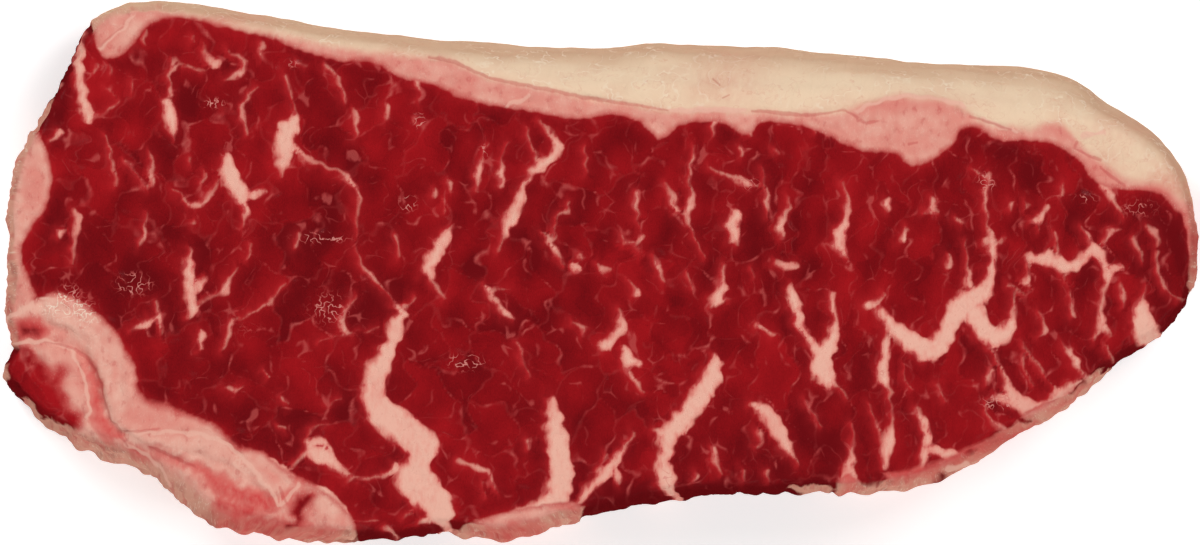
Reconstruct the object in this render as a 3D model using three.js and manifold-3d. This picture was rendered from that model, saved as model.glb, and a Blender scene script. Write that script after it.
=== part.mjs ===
// A raw beef steak, one slice across a strip loin, lying on its flat underside.
// Millimetres. X runs along the slice, Y towards the thick fat cap, Z up out of the cut face.
import * as THREE from "three";
import { mergeVertices } from "three/addons/utils/BufferGeometryUtils.js";
import Module from "manifold-3d";

const wasm = await Module();
wasm.setup();

// Driving sizes
const THICKNESS = 26; // underside to the highest level of the cut face
const RELIEF = 1.1; // how far the lowest hollow of the cut face lies below that level
const GAP = 0.3; // clearance between neighbouring pieces
const UNDER_TUCK = 2.4; // how far the side turns in where it meets the underside
const SIDE_WAVE = 0.35; // unevenness of the side
const WIDEST_THIN = 13; // height of the widest level where the side is steep
const WIDEST_BULGE = 7.5; // height of the widest level where the fat cap bulges
const FULL_BULGE = 12.5; // overhang at which the side counts as fully bulging
const SHOULDER_POWER = 1.8; // 2 would be an elliptical shoulder, 1 a straight bevel
const CREASE = { across: 0.75, rise: 0.6 }; // line between the outer skin and the cut face of the fat
const FOLD = { across: 1.0, rise: 1.5 }; // fold round the corner muscle
const GRISTLE = { across: 3.0, rise: 0.9 }; // pale band that stands out of the seam fat

// Fineness of the facets
const RING_POINTS = 190;
const CELL = 4.4; // cell of the cut face relief
const CUT_STEP = 2.3; // facet along a cut between two pieces
const SWEEP_STEP = 3.2; // facet along a crease, fold or ridge
const SWEEP_SIDES = 8;
const LEVELS_BELOW = [0, 0.3]; // shares of the height up to the widest level
const LEVELS_ABOVE = [0, 0.45, 0.74, 0.91, 1]; // shares of the height from there to the cut face
const HEADROOM = 4; // how far cutting bodies reach past what they cut

// Silhouette from above, counter-clockwise: x, y and how far the side stands out past the cut face
const SILHOUETTE = [
  [115, 3.5, 2], [113.5, 16, 2.5], [110.5, 23, 3.2], [105, 28, 4.2], [97.5, 32.5, 5.5], [91.5, 37, 7.5],
  [84.5, 39, 10], [69.5, 40, 9], [54, 41, 8.5], [36.5, 43, 12.5], [23, 43.5, 12.5], [9.5, 44, 12],
  [1, 43, 10], [-11.5, 43.5, 8], [-23, 44, 6], [-34.5, 45, 4], [-46, 46, 3], [-69, 50, 2.6],
  [-82.5, 52, 2.4], [-91, 51.5, 2.4], [-97, 48.5, 2.2], [-104, 35.5, 1.6], [-111, 22.5, 1.6],
  [-113, 11, 1.6], [-112.5, 0.5, 1.6], [-113.5, -9, 1.8], [-112, -12.5, 2], [-114.5, -19, 2.5],
  [-110, -26, 3.5], [-101.5, -32.5, 5], [-86.5, -38.5, 5.5], [-74.5, -48, 5], [-65, -50.5, 4.5],
  [-52, -51.5, 3.5], [-38.5, -51.5, 3], [-28, -50, 3.5], [-18, -51.5, 4], [-7.5, -48.5, 3.5],
  [4, -45.5, 3], [15.5, -43.5, 3], [36.5, -42.5, 2.8], [58.5, -41.5, 3], [69.5, -38, 3.5],
  [79, -32, 3.5], [88.5, -27, 3.5], [98, -19, 3], [108.5, -12, 2.6], [113.5, -5.5, 2.4],
];

// Inner edge of each fat layer or side muscle, then the corners that close its plan outside the slice
const LAYERS = {
  fat_cap: {
    edge: [
      [-98.5, 48.5], [-97, 47.5], [-96.5, 44], [-94.5, 41], [-92, 41.5], [-89, 44], [-86.5, 47.5],
      [-81.5, 49], [-74, 47.5], [-65, 45.5], [-56.5, 42.5], [-49, 40.5], [-43, 40.5], [-37.5, 37],
      [-30.5, 34.5], [-22, 32.5], [-12.5, 31], [-3, 29.5], [2, 30.5], [8, 29], [12, 25.5], [16, 28.5],
      [25, 28.5], [28.5, 26], [31, 29], [38.5, 28.5], [45.5, 25.5], [52, 23], [56.5, 23], [60, 20.5],
      [66.5, 23.5], [70, 27.5], [77, 25.5], [86.5, 25], [92, 22], [96, 17], [104, 16], [108.5, 15],
      [111.5, 9], [113, 2], [113.5, -3.5], [116.5, -5.5],
    ],
    outside: [[122, -5], [122, 60], [-99, 60]],
  },
  end_fat: {
    edge: [
      [-112.5, 32], [-109.5, 28.5], [-106.5, 24.5], [-105, 19], [-106, 13], [-109.5, 8], [-111, 3.5],
      [-109.5, -1], [-108, -5.5], [-110.5, -7], [-115.5, -8.5],
    ],
    outside: [[-122, -9], [-122, 32]],
  },
  seam_fat: {
    edge: [
      [-116, -8.6], [-110.5, -7], [-108, -5.5], [-103.5, -4], [-97.5, -7], [-92.5, -12], [-89, -19],
      [-87.5, -24], [-81.5, -26], [-73.5, -29.5], [-69, -34], [-65, -34], [-61.5, -37], [-57.5, -39.5],
      [-50, -44], [-47, -48], [-46.5, -53],
    ],
    outside: [[-46.5, -60], [-122, -60], [-122, -9]],
  },
  corner_muscle: {
    edge: [
      [-117, -15], [-110.5, -14.5], [-109, -17], [-107, -20], [-104, -21.5], [-103.5, -24],
      [-101.5, -26.5], [-99, -28], [-101, -30.5], [-104.5, -34],
    ],
    outside: [[-108, -38], [-122, -38], [-122, -15]],
  },
  lower_edge_fat: {
    edge: [
      [-31, -53], [-29, -50.5], [-25, -48.5], [-19, -46.5], [-12.5, -45], [-6.5, -44.2], [-3, -45],
      [-4, -47.5], [-5, -51],
    ],
    outside: [[-5, -58], [-31, -58]],
  },
  nose_fat: {
    edge: [
      [45, -44.5], [47.5, -38.5], [55, -38.5], [62.5, -37.5], [67.5, -35.5], [74, -32.5], [79.5, -29],
      [83.5, -26], [89, -24], [93, -21], [96.5, -18.8], [98.5, -18], [100.5, -20],
    ],
    outside: [[104, -25], [100, -52], [45, -52]],
  },
};

// Lines on the cut face
const CREASE_LINE = [
  [43, 29.8], [36.5, 30.5], [29, 31.5], [19.5, 31], [12.5, 31], [4, 32.5], [-3.5, 33.5], [-11.5, 35.5],
  [-19, 37], [-25, 39], [-30.5, 41], [-36.5, 41.8],
];
const SHOULDER_CREASE = [[91.5, 24.5], [96, 22], [101, 20.5], [105, 21.5]];
const FOLD_LINE = [
  [-109.5, -14.2], [-104, -13.5], [-100, -15.5], [-96.8, -19], [-95.5, -24], [-93.5, -28.5], [-91, -31],
  [-86.5, -33.5], [-80.5, -36.5], [-75, -39.5],
];
const GRISTLE_LINE = [
  [-109.5, -8.9], [-102.5, -7.6], [-98, -10.6], [-94.2, -17], [-92.6, -23.5], [-89.5, -29], [-82.5, -31.4],
  [-74, -32.9], [-68, -36.5], [-62.5, -42.5],
];

// Finish of each piece
const LEAN = { color: 0x8c141a, roughness: 0.42 };
const DARK_LEAN = { color: 0x82131a, roughness: 0.45 };
const CREAM_FAT = { color: 0xe0c0a0, roughness: 0.55 };
const PINK_FAT = { color: 0xd99988, roughness: 0.5 };

// Height of the cut face: shallow rounded bundles of muscle over a slow swell
function cutFace(x, y) {
  const swell = Math.sin(x / 31 + 0.8 * Math.sin(y / 27)) * Math.cos(y / 24 + 0.6);
  const bundles = Math.sin(x / 6.1 + 1.4 * Math.sin(y / 9.5)) * Math.sin(y / 7.4 + 1.2 * Math.sin(x / 11.3));
  const grain = Math.sin(x / 3.3 + y / 4.7 + 1.9) * Math.sin(y / 3.9 - x / 8.3);
  return THICKNESS - RELIEF * (0.5 + 0.22 * swell + 0.18 * bundles + 0.1 * grain);
}

// A closed surface through rings of equal length, its two ends filled by the given triangles
function loft(rings, endFaces) {
  const count = rings[0].length;
  const last = (rings.length - 1) * count;
  const faces = [];
  for (let k = 0; k < rings.length - 1; k += 1) {
    for (let i = 0; i < count; i += 1) {
      const a = k * count + i;
      const b = k * count + ((i + 1) % count);
      faces.push(a, b, b + count, a, b + count, a + count);
    }
  }
  for (const [a, b, c] of endFaces) faces.push(c, b, a, last + a, last + b, last + c);
  const geometry = new THREE.BufferGeometry().setFromPoints(rings.flat());
  geometry.setIndex(faces);
  return geometry;
}

// A three.js geometry as a solid that can be cut and joined
function solid(geometry) {
  geometry.deleteAttribute("normal");
  geometry.deleteAttribute("uv");
  const merged = mergeVertices(geometry, 1e-4);
  const vertProperties = new Float32Array(merged.attributes.position.array);
  return new wasm.Manifold(
    new wasm.Mesh({ numProp: 3, vertProperties, triVerts: new Uint32Array(merged.index.array) }),
  );
}

// Evenly spaced points of a smooth open line through plan points
function line(points, step) {
  const curve = new THREE.CatmullRomCurve3(points.map(([x, y]) => new THREE.Vector3(x, y, 0)), false);
  return curve.getSpacedPoints(Math.ceil(curve.getLength() / step));
}

// Unit normals of a plan polygon, pointing out of it when it runs counter-clockwise
function outward(points) {
  return points.map((_, i) => {
    const before = points.at(i - 1);
    const after = points[(i + 1) % points.length];
    return new THREE.Vector3(after.y - before.y, before.x - after.x, 0).normalize();
  });
}

// An upright prism over a plan polygon, grown on all sides by the given amount
function prism(points, grown) {
  const normals = outward(points);
  const plan = points.map((p, i) => p.clone().addScaledVector(normals[i], grown));
  const shape = new THREE.Shape(plan.map((p) => new THREE.Vector2(p.x, p.y)));
  const depth = THICKNESS + 2 * HEADROOM;
  const geometry = new THREE.ExtrudeGeometry(shape, { depth, bevelEnabled: false, steps: 1 });
  return solid(geometry.translate(0, 0, -HEADROOM));
}

// The plan polygon of a layer, counter-clockwise
function plan({ edge, outside }) {
  const points = [...line(edge, CUT_STEP), ...outside.map(([x, y]) => new THREE.Vector3(x, y, 0))];
  return THREE.ShapeUtils.isClockWise(points) ? points.reverse() : points;
}

// The side of the slice, from its underside up through its widest level and past the cut face
function sideShell() {
  const curve = new THREE.CatmullRomCurve3(SILHOUETTE.map((p) => new THREE.Vector3(...p)), true);
  const points = curve.getSpacedPoints(RING_POINTS).slice(0, RING_POINTS);
  const normals = outward(points);
  const ring = (height, inset) =>
    points.map((p, i) => {
      const z = height(p.z);
      const wave = SIDE_WAVE * Math.sin(i / 2.7 + z / 4.1) * Math.sin(i / 7.9 - z / 6.3);
      const move = -inset(p.z) - Math.abs(wave);
      return new THREE.Vector3(p.x + normals[i].x * move, p.y + normals[i].y * move, z);
    });
  const widest = (overhang) =>
    THREE.MathUtils.mapLinear(Math.min(overhang, FULL_BULGE), 0, FULL_BULGE, WIDEST_THIN, WIDEST_BULGE);
  const rings = LEVELS_BELOW.map((share) =>
    ring((w) => widest(w) * share, () => UNDER_TUCK * (1 - Math.sqrt(1 - (1 - share) ** 2))),
  );
  for (const share of LEVELS_ABOVE) {
    const turn = 1 - (1 - share ** SHOULDER_POWER) ** (1 / SHOULDER_POWER);
    rings.push(ring((w) => THREE.MathUtils.lerp(widest(w), THICKNESS, share), (w) => w * turn));
  }
  rings.push(rings.at(-1).map((p) => new THREE.Vector3(p.x, p.y, THICKNESS + HEADROOM)));
  return solid(loft(rings, THREE.ShapeUtils.triangulateShape(rings[0], [])));
}

// A block whose top is the uneven cut face
function cutBlock() {
  const half = { x: 120, y: 60 };
  const columns = Math.ceil((2 * half.x) / CELL);
  const rows = Math.ceil((2 * half.y) / CELL);
  const geometry = new THREE.BoxGeometry(2 * half.x, 2 * half.y, 2 * THICKNESS, columns, rows, 1);
  const position = geometry.getAttribute("position");
  for (let i = 0; i < position.count; i += 1) {
    const x = position.getX(i);
    const y = position.getY(i);
    if (position.getZ(i) > 0) position.setZ(i, cutFace(x, y));
  }
  return solid(geometry);
}

// A bar of oval section along a line on the cut face, thinning towards both ends
function sweep(points, { across, rise }) {
  const path = line(points, SWEEP_STEP);
  const normals = outward(path);
  normals[0] = normals[1];
  normals[path.length - 1] = normals[path.length - 2];
  const rings = path.map((p, k) => {
    const size = 0.25 + 0.75 * Math.sqrt(Math.abs(Math.sin((Math.PI * k) / (path.length - 1))));
    return Array.from({ length: SWEEP_SIDES }, (_, i) => {
      const turn = (-2 * Math.PI * i) / SWEEP_SIDES;
      const side = across * size * Math.cos(turn);
      const up = rise * size * Math.sin(turn);
      return new THREE.Vector3(p.x + normals[k].x * side, p.y + normals[k].y * side, cutFace(p.x, p.y) + up);
    });
  });
  const fan = Array.from({ length: SWEEP_SIDES - 2 }, (_, i) => [0, i + 1, i + 2]);
  const made = solid(loft(rings, fan));
  return made.volume() > 0 ? made : solid(loft(rings.reverse(), fan));
}

// The whole slice, then the layers cut from it with a clearance between neighbours
const slice = sideShell()
  .intersect(cutBlock())
  .add(sweep(GRISTLE_LINE, GRISTLE))
  .subtract(sweep(CREASE_LINE, CREASE))
  .subtract(sweep(SHOULDER_CREASE, CREASE))
  .subtract(sweep(FOLD_LINE, FOLD));
const plans = Object.fromEntries(Object.entries(LAYERS).map(([name, layer]) => [name, plan(layer)]));
const layer = (name) => slice.intersect(prism(plans[name], 0));
const without = (piece, names) => names.reduce((rest, name) => rest.subtract(prism(plans[name], GAP)), piece);

const PIECES = {
  lean_eye: { body: without(slice, Object.keys(plans)), finish: LEAN },
  fat_cap: { body: layer("fat_cap"), finish: CREAM_FAT },
  end_fat: { body: layer("end_fat"), finish: PINK_FAT },
  seam_fat: { body: without(layer("seam_fat"), ["end_fat", "corner_muscle"]), finish: PINK_FAT },
  corner_muscle: { body: layer("corner_muscle"), finish: DARK_LEAN },
  lower_edge_fat: { body: layer("lower_edge_fat"), finish: PINK_FAT },
  nose_fat: { body: layer("nose_fat"), finish: PINK_FAT },
};

const steak = new THREE.Group();
steak.name = "raw_beef_steak";
const outer = slice.boundingBox();
for (const [name, { body, finish }] of Object.entries(PIECES)) {
  const { vertProperties, triVerts } = body.getMesh();
  const geometry = new THREE.BufferGeometry();
  geometry.setAttribute("position", new THREE.BufferAttribute(vertProperties, 3));
  geometry.setIndex(new THREE.BufferAttribute(triVerts, 1));
  geometry.translate(-(outer.min[0] + outer.max[0]) / 2, -(outer.min[1] + outer.max[1]) / 2, 0);
  geometry.computeVertexNormals();
  const material = new THREE.MeshStandardMaterial({ ...finish, metalness: 0, flatShading: true });
  const mesh = new THREE.Mesh(geometry, material);
  mesh.name = name;
  steak.add(mesh);
}

export default steak;
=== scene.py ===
"""The looks of a raw beef steak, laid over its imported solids.

One fine skin is drawn round all the solids and parted into a closed piece for each layer. The fields that
say where fat, gristle, marbling and outer skin lie are kept on its vertices, and the finish reads them.
"""

import logging
from dataclasses import dataclass
from enum import Enum
from typing import Sequence, Union

import bmesh
import bpy
import numpy as np
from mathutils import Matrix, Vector
from mathutils.bvhtree import BVHTree


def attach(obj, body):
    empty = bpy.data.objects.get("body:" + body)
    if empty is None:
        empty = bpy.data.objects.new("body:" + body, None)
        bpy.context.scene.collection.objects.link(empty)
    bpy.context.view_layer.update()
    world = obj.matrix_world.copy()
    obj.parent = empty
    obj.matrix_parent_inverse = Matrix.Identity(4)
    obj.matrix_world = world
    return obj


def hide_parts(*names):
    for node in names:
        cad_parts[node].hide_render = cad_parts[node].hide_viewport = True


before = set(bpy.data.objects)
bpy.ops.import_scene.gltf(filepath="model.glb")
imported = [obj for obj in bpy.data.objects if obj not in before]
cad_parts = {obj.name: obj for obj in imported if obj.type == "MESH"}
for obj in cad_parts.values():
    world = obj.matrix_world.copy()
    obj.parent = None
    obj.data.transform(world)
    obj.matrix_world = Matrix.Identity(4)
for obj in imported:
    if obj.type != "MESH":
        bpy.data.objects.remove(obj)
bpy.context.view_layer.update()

LOG = logging.getLogger("steak")
MM = 0.001  # metres
THICKNESS = 26.0  # millimetres, like every length below that names no other unit
PHOTO_MM = 230.0 / 1197.0  # millimetres for one pixel of the photo
PHOTO_SIZE = (1200.0, 545.0)
PHOTO_ZERO = (599.5, 272.0)
FAR = 8.0  # where a distance to a line stops counting
STRAND = 3.5  # the usual width of a strand of muscle inside a bundle
WAVES = 9  # laid over each other in a wandering field
TINY = 1e-9

Array = np.ndarray
Colour = tuple[float, float, float]
Stretch = tuple[float, float, float]
Band = tuple[float, float]
Value = Union["Shade", float, int, tuple, bpy.types.NodeSocket]


class Layer(Enum):
    """Each layer of the slice: its CAD node and a name for its material slot, which the pieces do not use."""

    LEAN = ("lean_eye", "lean")
    CORNER = ("corner_muscle", "corner_lean")
    CAP = ("fat_cap", "cap_fat")
    END = ("end_fat", "cut_fat")
    SEAM = ("seam_fat", "cut_fat")
    LOWER = ("lower_edge_fat", "cut_fat")
    NOSE = ("nose_fat", "cut_fat")

    @property
    def node(self) -> str:
        """The name of the CAD node."""
        return self.value[0]

    @property
    def slot(self) -> str:
        """A name for the material slot, which nothing here uses."""
        return self.value[1]

    @property
    def is_lean(self) -> bool:
        """Whether the layer is muscle."""
        return self in (Layer.LEAN, Layer.CORNER)


class LineSet(Enum):
    """The sets of lines on the cut face, by the fields that they fill."""

    MARBLING = "marbling"
    ISLANDS = "islands"
    CREASE = "crease"
    FASCIA = "fascia"
    PALE = "pale"
    ROSY = "rosy"


class Tints(Enum):
    """The sets of soft oval patches on the surface, by the fields that they fill."""

    BLUSH = "blush"
    RED_DEPTH = "red_depth"
    WET = "wet"
    MELTING = "melt"
    CRUST = "crust"
    DRAWN_BACK = "drawn_back"


class Wave(Enum):
    """The wandering fields: the usual way from crest to crest, and the seed."""

    DRIFT_ACROSS = (60, 3)
    DRIFT_ALONG = (60, 4)
    WANDER_ACROSS = (8, 5)
    WANDER_ALONG = (8, 6)
    TREMBLE_ACROSS = (3.2, 7)
    TREMBLE_ALONG = (3.2, 8)
    SLOW = (6, 9)
    SLOWER = (11, 10)
    MOTTLE = (9, 13)
    FINE_MOTTLE = (4.5, 14)
    BUNDLES = (4, 21)
    STREAKS = (2.4, 22)
    FINE_LOBES = (3.0, 23)
    LOBES = (6.5, 24)
    SKIN = (14, 25)
    FINE_SKIN = (4.5, 26)
    FINE_CRAGS = (3.0, 27)
    CRAGS = (7.0, 28)

    def over(self, places: Array) -> Array:
        """Works out the field, which has a spread of about one.

        Args:
            places: one row for each point.

        Returns:
            One value for each point.
        """
        wavelength, seed = self.value
        draw = np.random.default_rng(seed)
        turns = draw.normal(size=(WAVES, places.shape[1]))
        turns /= np.linalg.norm(turns, axis=1, keepdims=True)
        lengths = wavelength * draw.uniform(0.7, 1.5, WAVES)
        starts = draw.uniform(0, 2 * np.pi, WAVES)
        phases = places @ (turns * (2 * np.pi / lengths)[:, None]).T + starts
        return np.sin(phases).sum(axis=1) / np.sqrt(WAVES / 2)


# Lines in the photo's 1200 by 545 frame, parted by ";". Each point has x, y and the half width there; where
# the half width is left out, it stays the same. First the marbling, by the part of the slice.
LEFT_END = """
88 28 2, 84 40 3, 81 52 4, 79 64 5, 81 80, 84 96, 86 108 6, 89 117;
92 119 3, 101 116 2, 113 108 1.5, 122 99 1; 62 84 2.5, 60 88 1.5; 52 104 1.5, 56 100 1;
134 80 1.5, 132 95 1; 146 30 1, 145 40 2, 147 45 1.5; 173 60 2, 174 67 3, 170 77 2, 172 86 1.5, 170 96 3;
168 101 4, 170 112 6, 173 124, 175 133 3, 176 140 1; 176 60 2, 184 65 1.5, 196 69, 207 71 1;
204 44 1.5, 205 53 2, 210 60 3, 215 64 4, 220 63 3;
229 50 2, 231 55, 240 57, 245 63 2.5, 246 70, 241 74 3.5, 233 77 2.5, 226 80 1; 195 36 1.5, 193 42;
262 44 2, 262 52 3, 262 60 1.5; 298 62 2, 308 66 1; 110 66 2, 112 75 1.5; 97 66 2, 96 75 1;
107 136 1, 110 150 2, 115 170, 118 185 1; 150 152 1, 153 163 2, 152 178 3, 154 187 2;
286 76 2, 290 88, 294 102 1, 298 115 1.5, 294 123 7, 286 132 10, 285 142, 285 154 8, 284 164 5, 282 175 1.5;
296 149 4, 305 158 3, 320 164 2, 338 171 1.5, 351 181 4, 356 188 3, 361 199 2, 357 216 1, 359 236;
258 88 1, 249 96 2, 244 104 2.5, 242 115 3, 246 123 2.5, 248 136 1; 240 196 5, 254 195 4, 266 190 2;
226 159 5, 229 169 8, 234 181 9, 240 193, 245 205 5, 246 216 3, 244 227 1;
174 190 1, 184 198 1.5, 190 205 3, 202 205, 212 194 2.5, 219 180 1; 206 172 2, 203 183 1.5;
190 156 1, 192 166; 125 162 2, 132 166 1.5, 140 178, 150 188 2;
76 210 2.5, 79 222 4, 76 236 3, 74 250 2, 74 264 1; 60 234 4, 66 230 2; 148 214 1, 144 238 3, 140 246 1;
191 250 2, 190 260 5, 189 272, 190 286, 191 298, 194 309, 190 318 2;
200 302 2, 214 297 1.5, 226 289 4, 231 278 2, 238 268 1; 196 220 1, 194 223 2;
251 252 2, 249 258 1.5, 252 246 1; 232 322 3, 228 338 2, 224 350 1.5;
130 331 1, 145 325 4, 157 318, 166 314 1; 158 303 1.5, 159 318 4, 163 333 1.5; 202 332 4, 201 349 3;
245 386 1, 236 390 3, 226 388 1; 300 235 2, 297 246; 286 284 1, 270 303 2, 253 313, 238 319 1;
325 64 2, 338 78, 343 92, 347 104 1; 355 109 2, 357 122 3, 357 138 1; 388 108 3, 387 119 2;
200 286 5, 206 280 3; 108 88 1, 116 96; 60 134 4, 52 140 2; 266 372 1.5, 268 377 2
"""
MIDDLE = """
408 62 6, 416 78 4, 421 92 2, 421 103 1; 488 143 1, 483 158, 480 168 4, 478 180 3, 477 190 1.5;
508 143 1, 502 158, 501 172 4, 502 184 3; 527 128 1, 530 142 2, 535 153 1.5, 537 164 3;
541 122 1.5, 551 134 3, 558 147 5, 551 158, 540 166 6, 531 173 3, 525 183, 520 195 4.5, 517 207 5.5,
512 218 7.5, 507 228 6, 503 238 2, 499 252 1; 585 148 1, 587 172; 450 183 2.5, 452 191 2;
436 192 3, 433 197 2; 445 200 1, 446 214;
452 227 2, 447 233 5, 442 242 6.5, 437 252, 431 262 7, 428 272 6, 432 280 2, 441 292, 445 298 1;
355 244 1, 362 266 1.5, 371 275 3, 384 289 1, 394 302 1.5, 402 312 5, 398 321 7, 395 333 8, 390 346 6,
384 359 9, 377 374 12, 373 390 11, 373 402 12, 383 413 15, 397 424 16, 412 435, 423 447, 420 459 12,
416 469 14, 415 480 19, 424 491 18, 435 501 17, 440 511 14, 440 520 7, 440 526 3;
402 311 4, 410 304 1.5, 416 297 1; 340 318 3, 345 330, 354 335 1; 342 317 2, 350 305, 357 297 1;
320 341 1, 345 334, 380 328; 397 236 2, 400 256 1; 487 288 4, 492 296 3, 500 306, 504 313 4, 514 318 2;
490 290 2, 504 289 1, 510 289; 542 233 1.5, 549 240 3, 555 248 4, 558 255 2, 565 266 1.5;
556 222 1, 553 240 2; 573 267 4, 577 269 3.5; 579 256 3, 583 258 2;
570 203 2, 567 212, 560 214, 556 218 1.5; 572 323 1, 580 325 2, 585 328, 584 333 1;
605 345 6, 610 341 5, 617 334 4, 622 326 5, 621 318 3, 619 309 1; 625 350 5, 628 361 7, 638 364 4;
628 370 3, 636 380, 643 391 1.5; 519 344 2, 523 360 1, 530 376; 599 264 1, 602 268 3, 610 270 1.5;
622 235 1, 626 242 2, 637 243, 641 238 3; 636 246 1.5, 640 252 1;
552 400 4, 554 415 8, 556 432 10, 559 450 11, 561 466 12, 561 482, 558 495, 548 507 11, 522 517 8,
490 526 6; 577 503 3, 587 492 4, 597 480 5, 605 474 7, 613 462 5, 620 453 4, 629 441 2, 634 432 1;
616 474 4, 620 482 2; 606 455 2, 600 470 3; 459 461 2, 474 465 3, 488 472, 492 482 2, 500 492 1;
528 440 2, 530 447; 484 482 1, 486 496;
713 354 3, 715 366 7, 711 378 10, 704 390, 696 402, 686 414, 676 425 9, 668 436, 667 449 7, 663 460 6,
664 473 9, 667 485, 667 496 5; 661 433 5, 655 430 2; 690 420 5, 684 432 3;
654 256 1, 657 266 3.5, 660 275 2, 664 281 1.5; 686 273 1, 690 283 1.5, 693 288 1;
667 184 1, 672 199 3, 677 210 4, 682 215 2;
691 186 1.5, 692 196 3, 689 208 4, 686 217 3, 694 236 1, 705 258; 637 192 3, 636 205, 637 215 1, 641 226;
709 167 1, 722 174 2, 735 178 2.5, 748 184 3.5, 756 186 2; 762 168 1, 765 188 2, 767 202 3, 768 217 1;
735 214 5, 731 226 7, 734 237 6, 737 245 1.5; 788 198 1.5, 788 210 2, 783 218 3, 779 227 4.5, 783 238 2;
775 262 2, 785 267 4, 796 265 3; 629 280 1, 634 288 1.5, 637 293 4;
724 265 2, 722 279 3, 721 291 4.5, 716 301 6, 712 306 2; 722 295 3, 731 300 1; 752 268 1, 754 277;
758 326 3, 774 334 2; 694 148 1.5, 692 160 2.5, 688 176 2, 690 186 1; 774 151 2, 778 154 1;
741 148 3, 742 155 2; 713 120 4, 713 130 2, 712 138 1; 748 122 5, 749 134 2.5; 812 122 3, 815 133 1;
714 448 3, 716 462 2.5, 722 474 1; 743 470 1.5, 744 480 1; 767 472 2, 769 480 1; 697 475 2.5, 694 480 1.5
"""
RIGHT_END = """
791 287 3, 792 298 6, 796 310, 799 323 5, 803 333 4, 814 346 5, 822 356 9, 821 370 11, 828 380 7,
838 386 1.5, 848 397 1; 831 295 3, 833 308 4, 835 320 2.5, 834 332 5, 828 346 8, 822 356 9;
805 400 2, 822 426 1; 852 424 1, 853 446 2, 850 460 4, 848 474 7, 848 484 9;
752 404 3, 761 408 6, 769 415 8, 776 427, 784 442 6, 792 453 3, 798 464 1; 757 430 3, 762 440 2, 756 448 1;
842 182 1, 846 194 1.5, 848 207 3, 845 220 4, 840 232 6, 836 242, 843 252 4, 848 259 1;
885 203 5, 888 208 3; 907 229 2, 902 239 4; 931 200 3, 932 209 4, 940 213 1; 932 207 3, 922 214 1;
866 306 4, 878 302 3, 884 294 1; 869 404 1, 876 422 1.5, 882 438 2, 884 450;
879 311 4, 887 321 6, 896 330 7, 905 338 9, 916 346 11, 928 350 12, 938 344 10, 945 334 9, 950 322,
957 310 11, 968 301 12, 978 297 11, 985 288 7, 989 276 5, 992 262 3.5, 992 250 4, 991 240, 987 224 1.5,
985 210 2, 984 200 3, 986 188, 989 176 2;
972 312 10, 981 329 11, 992 339 9, 1006 333 8, 1012 321 4, 1013 306 2, 1012 290 1.5;
968 284 4, 967 264 1.5, 965 240 1; 984 242 3, 998 242 2, 1005 239 1; 986 178 2, 980 172, 973 170 1;
1008 284 2, 1018 291 1.5, 1024 296 1;
1026 258 3, 1034 258 5, 1046 259 7, 1058 264, 1068 267 6, 1077 264 5, 1084 256, 1092 250 6, 1098 254 7,
1103 263 4.5, 1106 273 5, 1106 283 3, 1102 296 2.5, 1100 310 3, 1100 322 5, 1098 330 3, 1094 340 1.5;
1110 269 5, 1119 268 4; 1090 243 3, 1085 234 2.5, 1081 226 1; 1103 327 4, 1110 336 1;
1104 242 2, 1108 233 3, 1118 229 2; 1105 344 2, 1113 366 1;
886 331 2, 885 344 4, 885 356 5, 881 368 6, 883 378, 888 388 2, 891 402 1.5, 892 425 2, 889 440 7,
886 452 6, 884 466 3; 903 362 0.6, 904 378 0.8, 912 389;
916 408 2, 921 418 4, 925 430 5, 926 444, 923 456 4, 921 470 3, 920 482;
928 448 5, 940 452, 953 456 6, 964 463 4;
1145 285 1, 1142 297 2, 1140 309 7, 1140 321 11, 1145 332 13, 1147 341 11; 1133 238 2, 1138 250, 1142 262 1;
1120 285 1.5, 1123 298 2.5, 1122 306 1;
1061 342 1, 1069 352 3, 1075 362 4, 1080 372 2, 1086 379 3, 1096 378;
1021 341 1, 1032 360 1.5, 1042 370, 1050 384, 1055 390 3; 1021 356 1, 1026 374 1.5, 1034 386 1;
984 340 2, 991 350 2.5, 998 363, 1004 377 3, 1008 388 4, 1013 398 8, 1024 406, 1036 410 7, 1050 401 6,
1062 391 5, 1078 382 3; 990 372 3, 986 384 2; 937 384 2, 945 401 1;
1016 405 6, 1005 399 5, 996 395 3, 987 400 1.5, 985 411 1, 990 421 2, 1002 428 3;
1030 221 3, 1038 220 4.5, 1043 213 2.5, 1047 207 3; 1038 222 2, 1038 230 1;
1028 262 2, 1027 274, 1026 282 4.5, 1032 289 1; 1063 184 1, 1061 196 2.5;
1054 232 2, 1056 243 1.5, 1057 256 2; 1038 311 1.5, 1043 320, 1044 330 3, 1038 338 1;
1069 292 1.5, 1070 305 2, 1072 316 2.5; 1057 268 2, 1062 276 1, 1068 286;
1147 226 2, 1154 233 3, 1158 244 1.5; 1157 252 2, 1155 264, 1158 276, 1164 288, 1172 296 1, 1180 300;
1011 205 2.5, 1011 210 1; 955 218 2, 963 223;
1096 164 6, 1100 174, 1104 186 5, 1110 198 3, 1118 208 2, 1124 218 1; 950 266 3, 947 256 2;
1024 200 1, 1028 206 2, 1024 210 1
"""
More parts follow.
